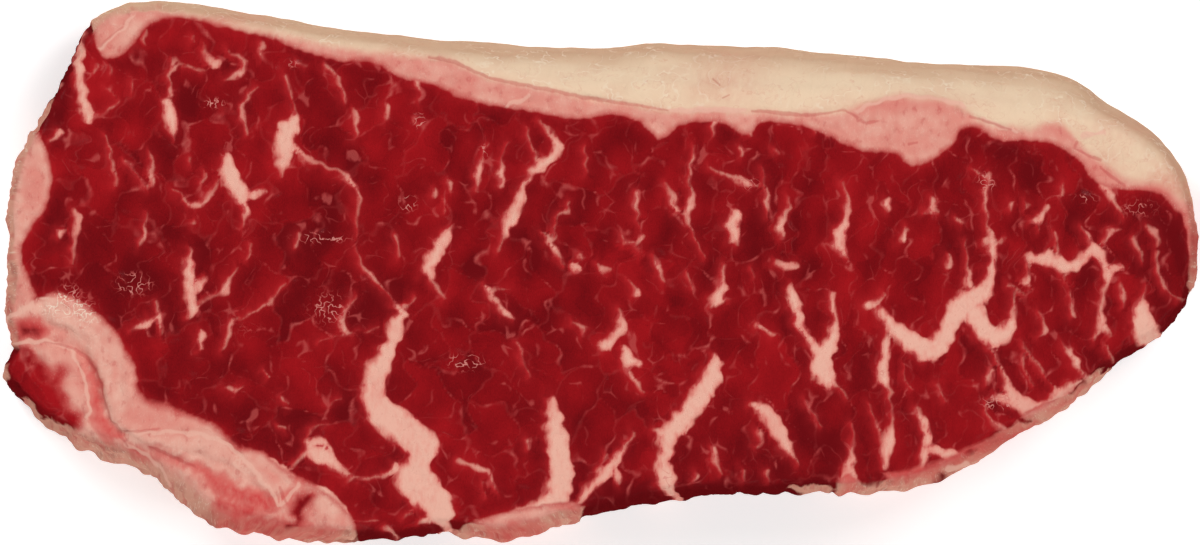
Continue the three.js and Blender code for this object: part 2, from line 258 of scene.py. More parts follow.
LOWER_LEFT = """
309 441 3, 311 450 6, 317 455 9, 325 457, 333 462 6, 342 469 3, 349 475, 360 478 2, 372 478 1.5, 384 476 2,
396 468 5; 315 441 4, 324 442, 329 449; 300 487 4, 312 488 5, 322 494 9, 329 503 11, 337 512 9, 345 521 6;
349 481 2, 356 476 1.5; 344 518 2, 360 521 1, 378 520; 270 464 6, 282 473, 291 480, 296 487 3;
293 466 1.5, 301 458 2, 308 451 3; 386 526 2, 391 531 3, 396 536 2; 404 518 1, 412 512 1.5;
419 524 1, 425 520 4; 281 426 2, 287 429 1.5; 308 433 1, 318 426 1.5, 330 424 1; 283 396 2, 290 404 1;
330 404 1, 342 398
"""

# The other sets: PALE and ROSY are broad and soft, the cushions of pale fat and the rosy places.
LINES = {
    LineSet.MARBLING: ";".join((LEFT_END, MIDDLE, RIGHT_END, LOWER_LEFT)),
    LineSet.ISLANDS: """
311 494 4, 303 502 6, 298 511, 300 519 4, 291 526 3; 336 490 5, 345 492, 350 494 3;
298 471 3, 308 473 7, 320 474 7.5, 334 477 6, 347 481 1.5;
12 356 7, 24 354 6, 34 364 7, 44 380 9, 54 396, 60 410; 60 420 7, 66 432 4; 62 370 3, 55 384 5;
24 331 6, 37 330 5; 366 528 9, 376 534 8; 1010 416 3, 1020 420 3.5, 1028 422 2; 940 475 4, 934 480 3;
858 472 8, 868 475 10, 878 476 8; 976 448 1.5, 966 452 2; 1180 232 1.5, 1184 250; 1112 368 5, 1102 376 3
""",
    LineSet.CREASE: """
430 56 1, 445 59 1.6, 465 67, 488 77 1.4, 511 83 1.5, 545 89, 580 97, 600 100, 640 106 1.2, 668 111 0.7;
752 111 1, 780 113 1.8, 795 115 1.6, 815 115 1.2, 845 110 0.6;
845 111 0.6, 856 117 1, 866 124 1.2, 878 121 0.7; 712 79 0.4, 720 85 0.3; 722 98 0.4, 729 95 0.3;
908 144 0.9, 916 143; 858 121 0.8, 868 124 1; 970 117 1.2, 984 121 0.8, 1010 130;
1076 142 1.2, 1074 148 1, 1084 154 0.7, 1099 160 1.4; 1100 168 0.8, 1112 178 1.2, 1124 186 1;
45 342 0.4, 62 344 0.8, 76 350 1.2, 88 358 1.4, 97 370, 102 385 1.3, 107 404 1.2, 112 418, 122 430 0.8;
150 446 1, 166 452 1.6, 180 460 1.4, 196 466 0.8; 124 431 0.6, 142 431 1, 160 428 0.8;
118 424 1.4, 121 438, 126 446 0.6; 69 438 1, 67 428 1.4, 74 420 0.8; 280 487 1, 284 497 1.2, 288 503 0.6;
100 48 0.6, 110 38 0.8, 124 27 0.5
""",
    LineSet.FASCIA: """
105 398 1, 110 412 1.2, 118 424 1.6, 128 432, 142 433 1.4, 160 432 1.2, 180 432 1.1, 200 434 1.2,
216 438 1.4, 230 446, 242 457, 254 470, 266 484, 276 496 1.2, 280 506 1;
71 350 0.8, 79 362 1, 85 376, 88 392 1.2, 90 408 1, 89 418 0.6;
20 344 1, 30 341 1.4, 42 341, 56 342 1.2, 66 346 0.8; 100 50 0.8, 110 40 1, 124 28, 134 17 0.8;
670 111 1, 690 111 1.8, 715 110, 745 111 1.2; 505 108 1, 530 96; 40 298 1, 56 300 1.4, 70 310 1.2;
48 308 1, 66 318 1.2, 80 334 1; 124 444 0.8, 144 454 1.1, 160 466 1, 166 480 0.8;
855 112 0.8, 880 101 1.2, 905 96 1.4, 940 99 1.2, 964 108 0.8; 282 506 1, 290 494 1.4, 300 484 1.2;
11 317 2, 22 311, 34 303 1.6; 1080 138 0.8, 1092 133 1, 1104 134 0.8; 982 119 0.8, 1000 127 1, 1016 131;
236 462 0.8, 246 474; 948 467 2.6, 962 464 2.4
""",
    LineSet.PALE: """
14 318 3, 24 312 5, 36 305 7, 50 308 9, 64 316 10, 78 328, 92 342 9, 102 358 8, 107 375 6, 108 395 5,
113 412, 121 427; 130 438 4, 150 441 6, 175 447 10, 200 450 12, 222 453 10, 236 462 6;
240 456 5, 252 468, 264 480, 276 494 4; 72 428 7, 84 432 8, 96 438 6; 42 352 3, 50 358 4, 58 362 3;
72 388 5, 76 398 6, 80 405 5; 118 385 6, 122 405 7; 112 452 5, 140 463 6, 166 479, 188 494 5, 206 508 4;
264 461 6, 286 471 7, 292 482 5; 312 490 5, 322 498 8, 332 508; 112 56 4, 120 46 6, 130 34, 140 24 4;
1140 322 6, 1150 334 8; 21 165 4, 17 200 5, 15 230, 13 262 4, 12 292; 208 464 3, 228 470 4, 246 482
""",
    LineSet.ROSY: """
27 325 5, 36 326, 46 334 2; 92 366 4, 97 385, 97 402 5, 100 418 7, 108 430 8, 117 436 4;
198 466 3, 210 476 6, 228 490 9, 248 498 11, 268 503, 240 512 12, 222 504 8;
150 448 2, 172 457 2.5, 194 466 3; 128 450 4, 148 458;
226 520 9, 262 524 10, 290 528 9, 315 532 6, 338 534 4; 1030 428 5, 1002 438 7, 976 450 8, 952 462 5;
893 476 6, 915 473 7, 935 469 6; 850 488 6, 846 470 3; 470 534 6, 505 534 8, 535 526 6;
1194 232 4, 1197 262, 1194 288 5; 1050 412 3, 1080 394, 1096 380 2; 300 482 1.5, 290 495 4, 282 500 2;
32 375 8, 44 372 3
""",
}
# Where the outer skin of the fat cap gives way to its cut face, as one line of no width
SKIN_EDGE = """
60 50 0, 85 30, 110 14, 130 9, 170 11, 200 17, 250 29, 300 40, 350 50, 400 57, 430 58, 445 60, 465 68,
488 78, 511 84, 545 90, 580 98, 600 101, 640 107, 670 112, 750 111, 795 115, 845 111, 880 101, 900 97,
940 101, 960 108, 975 118, 1000 127, 1030 130, 1045 124, 1060 126, 1075 140, 1100 164, 1120 178, 1165 188,
1180 198, 1200 206
"""
# Soft ovals in the same frame, parted by ";": x, y, the reach across, the reach up and the amount.
# DRAWN_BACK is how far the lean reaches into the edge of the fat, in millimetres.
TINTS = {
    Tints.BLUSH: """
726 82 42 30 0.3; 1186 230 12 40 0.6; 76 240 10 34 0.7; 985 450 34 9 0.4; 524 528 46 8 0.7;
572 508 12 6 0.8; 1100 168 26 14 0.4; 1165 188 30 12 0.5; 460 84 40 12 0.35; 36 190 10 40 0.25;
118 45 16 12 0.3; 930 148 16 8 0.3; 886 106 50 7 0.3; 985 440 40 16 0.5; 65 436 16 12 0.5;
240 536 40 12 0.7; 318 536 30 7 0.5; 255 520 36 12 0.7; 270 470 24 12 0.35; 915 474 34 9 0.6;
1010 430 30 8 0.5; 1160 262 12 14 0.8; 1154 232 12 10 0.8; 640 116 50 8 0.3; 1040 132 40 8 0.25;
440 538 26 10 0.5; 14 335 16 12 0.7; 930 104 60 10 0.25; 250 20 60 8 0.35; 380 60 50 10 0.3;
1120 132 44 22 0.22; 1165 172 24 18 0.3; 905 142 26 14 0.12; 165 412 34 10 0.35; 58 378 34 28 0.35;
108 350 16 30 -0.1; 230 448 30 10 0.2; 520 520 40 10 0.12; 1030 398 40 20 0.6; 212 295 15 9 0.9;
400 330 12 10 0.3; 620 340 20 12 0.3; 380 388 12 14 0.3; 305 165 30 14 0.5; 600 470 24 20 0.25;
200 50 40 20 0.5; 1100 290 14 50 0.4; 770 430 20 30 0.5; 1060 258 30 8 0.35; 555 405 10 10 0.5;
880 450 50 40 0.25; 110 52 20 14 0.2
""",
    Tints.MELTING: """
48 385 40 46 1; 32 326 16 12 0.9; 300 500 40 34 0.4; 950 465 90 20 0.5; 85 415 26 26 0.5; 150 408 50 16 0.5;
232 440 40 16 0.5; 90 320 40 30 0.2
""",
    Tints.CRUST: """
44 118 16 26 0.9; 66 74 14 22 0.25; 1176 318 14 16 0.12; 812 489 30 5 0.9; 1193 245 9 46 -0.9;
205 518 20 10 -0.6; 1000 442 40 10 -0.7; 18 412 20 16 0.8; 7 372 7 14 0.7; 48 434 26 14 1; 78 446 18 12 0.8
""",
    Tints.DRAWN_BACK: """
432 87 30 13 1.35; 908 158 13 8 0.5; 828 134 16 8 0.35; 276 36 16 9 0.55; 335 58 30 8 0.25; 200 20 30 8 0.3;
1180 244 10 50 1.8; 1136 186 34 8 0.35; 1092 166 14 16 0.35; 978 127 22 9 0.95; 885 150 40 8 0.3;
140 390 10 12 0.4; 190 416 36 9 0.4; 262 447 16 8 0.4; 1012 424 36 9 0.55; 870 470 26 8 0.8;
1078 386 22 10 0.8; 785 122 30 6 -0.25; 42 136 8 16 -0.5; 952 140 12 10 -0.4; 137 366 8 14 -0.3
""",
    # The strongest darkening ovals along the lower and right edges are painted shade where the top rolls off;
    # the others are the muscle's own deeper and lighter reds.
    Tints.RED_DEPTH: """
540 245 42 30 -0.9; 375 298 28 18 -0.8; 778 236 46 40 -0.7; 1022 150 60 20 -0.8; 120 230 70 60 -0.5;
330 210 60 40 -0.5; 520 330 60 30 -0.6; 150 380 50 40 -0.5; 250 400 60 40 -0.4; 60 95 22 50 -0.6;
345 430 60 30 -0.4; 500 125 60 18 -0.5; 95 85 16 35 0.9; 185 35 40 16 0.9; 70 165 40 40 0.7;
410 130 60 30 0.6; 260 170 30 20 0.9; 610 250 60 60 0.6; 620 370 60 60 0.5; 820 200 30 40 0.5;
760 380 50 40 0.5; 930 310 26 22 0.8; 860 300 20 30 0.5; 1060 330 40 40 0.4; 340 360 60 16 0.6;
430 210 40 40 0.5; 300 120 30 30 0.3; 600 440 50 40 -0.8; 1150 240 26 30 -1; 1085 290 60 90 -0.4;
45 400 40 40 0.9; 220 280 100 80 -0.3; 820 440 90 40 -0.5; 720 500 130 20 -3; 1194 285 14 50 -1.6;
1182 230 10 40 -0.8; 370 544 50 14 -1.6; 52 105 14 50 -0.8; 1120 368 30 14 -1
""",
    # Wet places: a stronger coat, and the pale curls partly painted as highlights.
    Tints.WET: """
135 284 22 14 1; 70 290 14 10 0.7; 214 104 14 7 1; 292 64 16 7 0.7; 420 122 8 14 0.9; 466 362 24 11 1;
484 152 7 12 0.8; 986 182 12 14 0.9; 1085 198 16 7 0.8; 1138 208 26 14 0.7; 998 402 22 10 1;
665 480 9 14 0.8; 322 238 34 7 1; 330 308 26 20 0.9; 408 203 12 11 1; 750 184 12 8 0.9; 90 312 16 20 0.6;
225 150 6 10 0.8; 60 308 20 12 0.8; 1018 150 26 10 0.4; 880 372 14 10 0.5; 250 330 20 14 0.5
""",
}


@dataclass(frozen=True)
class LeanFinish:
    """The reds of the muscle."""

    dark: Colour = (0.142, 0.0042, 0.0064)
    middle: Colour = (0.228, 0.0055, 0.0082)
    bright: Colour = (0.345, 0.0080, 0.0115)
    # painted light: the brighter red near the fat, as if light came through it
    painted_glow: Colour = (0.470, 0.0190, 0.0230)
    film: Colour = (0.520, 0.0650, 0.0650)
    # painted shade: the darker red of the muscle's walls, which turn away from the light
    side: Colour = (0.120, 0.0040, 0.0055)
    film_size: float = 5.0


@dataclass(frozen=True)
class MarblingFinish:
    """The fat inside the muscle."""

    pale: Colour = (0.805, 0.430, 0.335)
    core: Colour = (0.770, 0.340, 0.268)
    pink: Colour = (0.700, 0.215, 0.175)
    edge: Colour = (0.540, 0.085, 0.080)
    fibre_size: float = 0.9


@dataclass(frozen=True)
class CutFatFinish:
    """The cut face of the outer fat."""

    pink: Colour = (0.715, 0.270, 0.215)
    pale: Colour = (0.780, 0.400, 0.315)
    rosy: Colour = (0.600, 0.065, 0.062)
    seam: Colour = (0.500, 0.070, 0.065)
    gristle: Colour = (0.800, 0.440, 0.345)
    rind: Colour = (0.650, 0.310, 0.225)
    maroon: Colour = (0.330, 0.055, 0.045)


@dataclass(frozen=True)
class SkinFinish:
    """The outer skin of the fat."""

    cream: Colour = (0.820, 0.615, 0.430)
    # painted shade: the browner, darker cream where the skin slopes down to its edge
    tan: Colour = (0.570, 0.350, 0.225)
    warm: Colour = (0.790, 0.530, 0.370)
    vein: Colour = (0.640, 0.260, 0.180)
    # pale folds of the skin; the same colour paints highlights on the fat
    wrinkle_and_painted_glint: Colour = (0.880, 0.760, 0.600)
    pore_size: float = 1.3
    fold_size: float = 3.2


@dataclass(frozen=True)
class WetFinish:
    """The moist gloss over everything, and the colour and size of the pale curls, partly tissue and partly
    painted highlight.
    """

    lean_roughness: float = 0.30
    fat_roughness: float = 0.42
    side_roughness: float = 0.75
    dry_coat: float = 0.02
    coat: float = 0.14
    coat_roughness: float = 0.20
    specular: float = 0.0
    # pale curls on the wet muscle: partly tissue, partly painted highlight
    threads: Colour = (0.720, 0.310, 0.265)
    tissue_and_painted_glint_size: float = 1.6
    bump: float = 0.12


def photo_to_mm(x: Array, y: Array) -> Array:
    """Turns places in the photo's frame into millimetres on the part.

    Args:
        x: places from the left of the frame.
        y: places from the top of the frame.

    Returns:
        One row of X and Y for each place.
    """
    return np.stack([(x - PHOTO_ZERO[0]) * PHOTO_MM, (PHOTO_ZERO[1] - y) * PHOTO_MM], axis=-1)


def ease(value: Array, low: float, high: float) -> Array:
    """A smooth step from 0 at low to 1 at high."""
    share = np.clip((value - low) / (high - low), 0, 1)
    return share * share * (3 - 2 * share)


@dataclass(frozen=True)
class Strand:
    """A line on the cut face whose half width changes along it."""

    spine: Array
    half_width: Array

    @classmethod
    def read_all(cls, text: str) -> list["Strand"]:
        """Reads strands.

        Args:
            text: the strands in the photo's frame, parted by semicolons and their points by commas.

        Returns:
            The strands in millimetres.
        """
        strands = []
        for line in text.split(";"):
            rows: list[list[float]] = []
            for point in line.split(","):
                numbers = [float(word) for word in point.split()]
                rows.append(numbers if len(numbers) == 3 else numbers + rows[-1][2:])
            x, y, half_width = np.array(rows).T
            strands.append(cls(photo_to_mm(x, y), half_width * PHOTO_MM))
        return strands


@dataclass
class StrandField:
    """How far each point lies from the nearest strand of a set."""

    offset: Array
    half_width: Array
    distance: Array
    nearest: Array

    @classmethod
    def over(cls, plan: Array, strands: Sequence[Strand]) -> "StrandField":
        """Measures the strands from every point.

        Args:
            plan: X and Y of each point.
            strands: the set of lines.

        Returns:
            The field.
        """
        count = len(plan)
        made = cls(np.full((count, 2), FAR), np.zeros(count), np.full(count, FAR), np.full(count, -1))
        for number, strand in enumerate(strands):
            low = strand.spine.min(axis=0) - FAR
            high = strand.spine.max(axis=0) + FAR
            near = np.flatnonzero(((plan > low) & (plan < high)).all(axis=1))
            for i in range(len(strand.spine) - 1):
                made.take(near, plan[near], strand, i, number)
        return made

    def take(self, near: Array, plan: Array, strand: Strand, i: int, number: int) -> None:
        """Takes in one stretch of a strand where it is the nearest.

        Args:
            near: indices of the points that it may reach.
            plan: X and Y of those points.
            strand: the line.
            i: which stretch of it.
            number: the line's place in its set.
        """
        start, run = strand.spine[i], strand.spine[i + 1] - strand.spine[i]
        share = np.clip((plan - start) @ run / max(run @ run, TINY), 0, 1)
        offset = plan - start - share[:, None] * run
        width = strand.half_width[i] + share * (strand.half_width[i + 1] - strand.half_width[i])
        distance = np.hypot(offset[:, 0], offset[:, 1]) - width
        closer = distance < self.distance[near]
        chosen = near[closer]
        self.offset[chosen] = offset[closer]
        self.half_width[chosen] = width[closer]
        self.distance[chosen] = distance[closer]
        self.nearest[chosen] = number


def tint(plan: Array, kind: Tints) -> Array:
    """Adds up one set of soft oval patches.

    Args:
        plan: X and Y of each point.
        kind: which set.

    Returns:
        The sum at each point.
    """
    total = np.zeros(len(plan))
    for oval in TINTS[kind].split(";"):
        x, y, across, up, amount = np.array(oval.split(), dtype=float)
        offset = plan - photo_to_mm(x, y)
        total += amount * np.exp(-((offset / (np.array([across, up]) * PHOTO_MM)) ** 2).sum(axis=1))
    return total


@dataclass(frozen=True)
class Bundles:
    """The bundles of muscle, as cells round jittered centres."""

    across: float
    along: float
    seed: int
    table: int = 96
    margin: float = 0.06

    def measure(self, plan: Array) -> Array:
        """Finds the nearest border between two bundles.

        Args:
            plan: X and Y of each point.

        Returns:
            For each point the way there from the border, and its own bundle's tone from 0 to 1.
        """
        draw = np.random.default_rng(self.seed)
        jitter = draw.uniform(self.margin, 1 - self.margin, (self.table, self.table, 2))
        tones = draw.uniform(0, 1, (self.table, self.table))
        size = np.array([self.across, self.along])
        where = plan / size
        home = np.floor(where).astype(int)
        steps = [np.array((i, j)) for i in range(-2, 3) for j in range(-2, 3)]
        centres = []
        for step in steps:
            cell = (home + step) % self.table
            centres.append(home + step + jitter[cell[:, 0], cell[:, 1]])
        centres = np.stack(centres)
        squares = ((centres - where) ** 2).sum(axis=2)
        own = squares.argmin(axis=0)
        rows = np.arange(len(plan))
        mine = centres[own, rows]
        nearest = np.full(len(plan), FAR)
        border = np.zeros((len(plan), 2))
        for k in range(len(steps)):
            run = centres[k] - mine
            length = np.linalg.norm(run, axis=1)
            other = length > TINY
            gap = np.full(len(plan), FAR)
            gap[other] = (squares[k] - squares[own, rows])[other] / (2 * length[other])
            closer = gap < nearest
            nearest[closer] = gap[closer]
            border[closer] = -(run[closer] / length[closer, None]) * gap[closer, None] * size
        cell = (home + np.array(steps)[own]) % self.table
        return np.column_stack([border, tones[cell[:, 0], cell[:, 1]]])


def patches(count: int, first: Array, second: Array) -> Array:
    """Finds which things hang together.

    Args:
        count: how many things there are.
        first: one thing of each joined pair.
        second: the other thing of each pair.

    Returns:
        For each thing the lowest number in its patch.
    """
    label = np.arange(count)
    while True:
        lowest = np.minimum(label[first], label[second])
        made = label.copy()
        np.minimum.at(made, first, lowest)
        np.minimum.at(made, second, lowest)
        made = made[made]
        if (made == label).all():
            return label
        label = made


@dataclass(frozen=True)
class Relief:
    """How far the skin is lifted or lowered, and over which way."""

    bundle: float = 0.24
    bundle_round: float = 0.8
    bundle_wave: float = 0.10
    lean_sunk: float = 0.20
    streak: float = 0.05
    streak_wave: float = 0.07
    lobe_wave: float = 0.10
    skin_wave: float = 0.22
    skin_ripple: float = 0.08
    side_swell: float = 0.45
    cushion: float = 0.25
    crease: float = 0.26
    crease_reach: float = 0.4
    fascia: float = 0.18
    fascia_reach: float = 0.35
    fine_crag: float = 0.20
    crag: float = 0.24
    foot: Band = (0.4, 3.0)


@dataclass
class SteakSkin:
    """The fine skin round all the solids, and the fields kept on it."""

    cell: float = 0.60
    coarse_cell: float = 1.3
    grown: float = 0.30
    smoothing: int = 6
    step: float = 0.6
    rim_rounds: int = 45
    rim_depth: float = 0.9
    sharing_rounds: int = 12
    weld: float = 0.001
    sway: float = 4.0
    shake: float = 0.16
    crease_shake: float = 0.05
    cap_drawn_in: float = 0.30
    cap_band: Band = (18, 26)
    right_of: float = 12
    drawn_band: Band = (-30, 70)
    facing_up: Band = (0.3, 0.8)
    facing_out: Band = (0.15, 0.75)
    relief: Relief = Relief()
    round_bundles: Bundles = Bundles(7.6, 9.4, 11)
    long_bundles: Bundles = Bundles(5.4, 12.5, 31)

    def draw(self) -> None:
        """Makes the skin's points and faces, then its fields and its relief."""
        self.fields: dict[str, Array] = {}
        self.wrap()
        self.smooth()
        self.measure()
        self.raise_relief()

    def wrap(self) -> None:
        """Joins slightly grown copies of the solids and covers them with one even mesh."""
        joined = bmesh.new()
        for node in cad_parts.values():
            part = bmesh.new()
            part.from_mesh(node.data)
            bmesh.ops.remove_doubles(part, verts=part.verts, dist=self.weld * MM)
            part.normal_update()
            for vertex in part.verts:
                vertex.co += vertex.normal * self.grown * MM
            mesh = bpy.data.meshes.new("grown")
            part.to_mesh(mesh)
            part.free()
            joined.from_mesh(mesh)
            bpy.data.meshes.remove(mesh)
        mesh = bpy.data.meshes.new("joined")
        joined.to_mesh(mesh)
        joined.free()
        carrier = bpy.data.objects.new("joined", mesh)
        bpy.context.scene.collection.objects.link(carrier)
        cover = carrier.modifiers.new("cover", "REMESH")
        cover.mode = "VOXEL"
        cover.voxel_size = self.cell * MM
        made = carrier.evaluated_get(bpy.context.evaluated_depsgraph_get()).to_mesh()
        self.points = np.empty(len(made.vertices) * 3)
        made.vertices.foreach_get("co", self.points)
        self.points = self.points.reshape(-1, 3) / MM
        self.faces = np.empty(len(made.polygons) * 4, dtype=np.int64)
        made.loops.foreach_get("vertex_index", self.faces)
        self.faces = self.faces.reshape(-1, 4)
        bpy.data.objects.remove(carrier)
        bpy.data.meshes.remove(mesh)
        self.keep_outside()
        LOG.info("skin: %d points, %d faces", len(self.points), len(self.faces))

    def edges(self) -> tuple[Array, Array]:
        """The first and the second end of every face's edges."""
        return self.faces.reshape(-1), np.roll(self.faces, -1, axis=1).reshape(-1)

    def keep_outside(self) -> None:
        """Drops small shells that lie inside the skin."""
        label = patches(len(self.points), *self.edges())
        names, sizes = np.unique(label, return_counts=True)
        kept = label == names[sizes.argmax()]
        renumber = np.cumsum(kept) - 1
        self.faces = renumber[self.faces[kept[self.faces[:, 0]]]]
        self.points = self.points[kept]

    def smooth(self) -> None:
        """Rounds off the solids' facets, and takes back the growth."""
        self.points = self.spread(self.points, self.smoothing)
        self.normals = self.point_normals()
        self.points -= self.normals * self.grown
        self.points[:, 2] = np.maximum(self.points[:, 2], 0)

    def spread(self, field: Array, times: int) -> Array:
        """Evens out a field over the skin.

        Args:
            field: one value or one row for each point.
            times: how often each point moves towards the mean of its neighbours.

        Returns:
            The evened field.
        """
        a, b = self.edges()
        count = len(self.points)
        degree = np.bincount(a, minlength=count) + np.bincount(b, minlength=count)
        columns = field.reshape(count, -1).copy()
        for _ in range(times):
            for column in columns.T:
                total = np.bincount(a, column[b], count) + np.bincount(b, column[a], count)
                column += self.step * (total / degree - column)
        return columns.reshape(field.shape)

    def point_normals(self) -> Array:
        """Works out which way is outward.

        Returns:
            The direction at each point.
        """
        corners = self.points[self.faces]
        face = np.cross(corners[:, 2] - corners[:, 0], corners[:, 3] - corners[:, 1])
        total = np.zeros_like(self.points)
        for k in range(4):
            for axis in range(3):
                total[:, axis] += np.bincount(self.faces[:, k], face[:, axis], len(self.points))
        return total / np.maximum(np.linalg.norm(total, axis=1, keepdims=True), TINY)

    def measure(self) -> None:
        """Works out every field on the skin."""
        fields = self.fields
        depth = np.clip(THICKNESS - self.points[:, 2] - 1, 0, None) / THICKNESS
        drift = self.sideways(Wave.DRIFT_ACROSS, Wave.DRIFT_ALONG, self.points * (1, 1, 1.6))
        plan = self.points[:, :2] + drift * (depth * self.sway)[:, None]
        wander = self.sideways(Wave.WANDER_ACROSS, Wave.WANDER_ALONG, plan)
        tremble = self.sideways(Wave.TREMBLE_ACROSS, Wave.TREMBLE_ALONG, plan)
        fields["plan"] = np.column_stack([plan, np.zeros(len(plan))])
        self.measure_layers()
        for kind, text in LINES.items():
            shake = self.crease_shake if kind is LineSet.CREASE else self.shake
            found = StrandField.over(plan + shake * tremble, Strand.read_all(text))
            fields[kind.value + "_gap"] = found.distance
            if kind in (LineSet.MARBLING, LineSet.CREASE, LineSet.FASCIA):
                fields[kind.value + "_line"] = np.column_stack([found.offset, found.half_width])
            if kind is LineSet.MARBLING:
                fields["alone"] = self.where_alike(found.nearest)
        self.measure_bundles(plan, wander, tremble)
        fields["slow"] = 0.5 * Wave.SLOW.over(plan) + 0.5 * Wave.SLOWER.over(plan)
        fields["mottle"] = 0.6 * Wave.MOTTLE.over(self.points) + 0.4 * Wave.FINE_MOTTLE.over(self.points)
        for kind in (Tints.BLUSH, Tints.RED_DEPTH, Tints.WET, Tints.MELTING, Tints.CRUST):
            fields[kind.value] = tint(plan, kind)
        fields["wet"] *= ease(self.normals[:, 2], *self.facing_up)
        ends = Strand.read_all(SKIN_EDGE)[0].spine
        above = self.points[:, 1] - np.interp(self.points[:, 0], ends[:, 0], ends[:, 1])
        fields["skin"] = np.clip(above, -FAR, FAR)
        fields["side"] = 1 - ease(np.abs(self.normals[:, 2]), *self.facing_out)
        fields["rim"] = self.spread(fields["side"], self.rim_rounds)
        for name, field in fields.items():
            LOG.info("field %s from %.2f to %.2f", name, field.min(), field.max())

    def sideways(self, across: Wave, along: Wave, places: Array) -> Array:
        """A wandering way in X and Y at each place."""
        return np.stack([across.over(places), along.over(places)], axis=1)

    def measure_bundles(self, plan: Array, wander: Array, tremble: Array) -> None:
        """Finds the bundles of muscle, longer and narrower on the right, and the weave of their strands.

        Args:
            plan: X and Y of each point.
            wander: a broad wandering there.
            tremble: a small one.
        """
        moved = plan + 0.9 * wander + 0.22 * tremble
        right = (plan[:, 0] + 4 * wander[:, 1] > self.right_of)[:, None]
        bundles = np.where(right, self.long_bundles.measure(moved), self.round_bundles.measure(moved))
        self.fields["bundle_line"] = bundles
        self.fields["bundle_gap"] = np.linalg.norm(bundles[:, :2], axis=1)
        drawn = ease(plan[:, 0], *self.drawn_band)
        weave = (plan + 0.6 * wander + 0.2 * tremble) * np.column_stack([1 + 0.15 * drawn, 1 - 0.35 * drawn])
        self.fields["weave"] = np.column_stack([weave, np.zeros(len(weave))])

    def where_alike(self, number: Array) -> Array:
        """Finds where a number stays the same on the faces round a point and round its neighbours.

        Args:
            number: one number for each point.

        Returns:
            For each point 1 where it does, and 0 elsewhere.
        """
        held = number[self.faces]
        mixed = held.min(axis=1) != held.max(axis=1)
        for _ in range(2):
            touched = np.bincount(self.faces.reshape(-1), np.repeat(mixed, 4), len(number)) > 0
            mixed = touched[self.faces].any(axis=1)
        return 1.0 - touched

    def measure_layers(self) -> None:
        """Finds the layer of each point, and how deep in fat it lies."""
        lean = [layer for layer in Layer if layer.is_lean]
        fat = [layer for layer in Layer if not layer.is_lean]
        whole, owners = self.solids(lean + fat)
        places = [Vector(row) for row in self.points * MM]
        self.owner = np.array([owners[whole.find_nearest(place)[2]] for place in places])
        trees = [self.solids(layers)[0] for layers in (lean, fat)]
        to_lean, to_fat = np.array([[tree.find_nearest(place)[3] for place in places] for tree in trees])
        inward = (to_lean - to_fat) / MM - self.cap_drawn_in * ease(self.points[:, 1], *self.cap_band)
        self.fields["fat"] = np.clip(inward - tint(self.points[:, :2], Tints.DRAWN_BACK), -FAR, FAR)

    def solids(self, layers: Sequence[Layer]) -> tuple[BVHTree, list[int]]:
        """Gathers the solids of some layers.

        Args:
            layers: which layers.

        Returns:
            A tree to search them by, and for each of its faces the number of its layer.
        """
        corners: list[Vector] = []
        faces: list[tuple[int, ...]] = []
        owners: list[int] = []
        for layer in layers:
            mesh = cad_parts[layer.node].data
            base = len(corners)
            corners += [vertex.co.copy() for vertex in mesh.vertices]
            faces += [tuple(base + i for i in face.vertices) for face in mesh.polygons]
            owners += [list(Layer).index(layer)] * len(mesh.polygons)
        return BVHTree.FromPolygons(corners, faces), owners

    def raise_relief(self) -> None:
        """Lifts and lowers the skin for bundles, marbling, lobes of fat and the waves of the outer skin."""
        fields, relief, places = self.fields, self.relief, self.points
        side = fields["side"]
        fat = ease(fields["fat"], -0.4, 0.4)
        skin = fat * np.maximum(ease(fields["skin"], -0.5, 1.0), side)
        streak = ease(-fields["marbling_gap"], -0.3, 0.5)
        rounded = 1 - np.exp(-fields["bundle_gap"] / relief.bundle_round)
        bundles = relief.bundle * rounded - relief.lean_sunk
        bundles += relief.bundle_wave * Wave.BUNDLES.over(places)
        streaks = relief.streak + relief.streak_wave * Wave.STREAKS.over(places)
        lobes = relief.lobe_wave * Wave.FINE_LOBES.over(places) + relief.lobe_wave * Wave.LOBES.over(places)
        waves = relief.skin_wave * Wave.SKIN.over(places) + relief.skin_ripple * Wave.FINE_SKIN.over(places)
        waves = waves * (1 - 0.6 * side) + relief.side_swell * side
        lift = bundles * (1 - streak) + streaks * streak
        lift = lift * (1 - fat) + (lobes * (1 - skin) + waves * skin) * fat
        lift += relief.cushion * ease(-fields["pale_gap"], -0.9, 0.9) * fat
        lift -= relief.crease * np.exp(-np.clip(fields["crease_gap"], 0, None) / relief.crease_reach) * fat
        lift += relief.fascia * np.exp(-np.clip(fields["fascia_gap"], 0, None) / relief.fascia_reach) * fat
        crags = relief.fine_crag * Wave.FINE_CRAGS.over(places * (1, 1, 0.6))
        crags += relief.crag * Wave.CRAGS.over(places * (1, 1, 0.5))
        calm = np.maximum(0.88 * ease(fields["skin"], -0.5, 1.5), 0.45 * ease(places[:, 0], 20, 70))
        lift += crags * side * (1 - calm)
        lift *= ease(places[:, 2], *relief.foot)
        self.points = places + self.normals * lift[:, None]
        self.points[:, 2] = np.maximum(self.points[:, 2], 0)
        self.normals = self.point_normals()

    def share_out(self) -> None:
        """Gives each face to one layer, so that every layer has one patch with a plain rim."""
        self.face_owner = np.sort(self.owner[self.faces], axis=1)[:, 1]
        first, second = self.edges()
        keys = np.minimum(first, second) * len(self.points) + np.maximum(first, second)
        order = np.argsort(keys, kind="stable")
        self.edge_ends = np.column_stack([first, second])[order[::2]]
        self.edge_faces = (order // 4).reshape(-1, 2)
        for _ in range(self.sharing_rounds):
            moved = self.drop_scraps() + self.untie_rims()
            LOG.info("faces given to another layer: %d", moved)
            if not moved:
                break

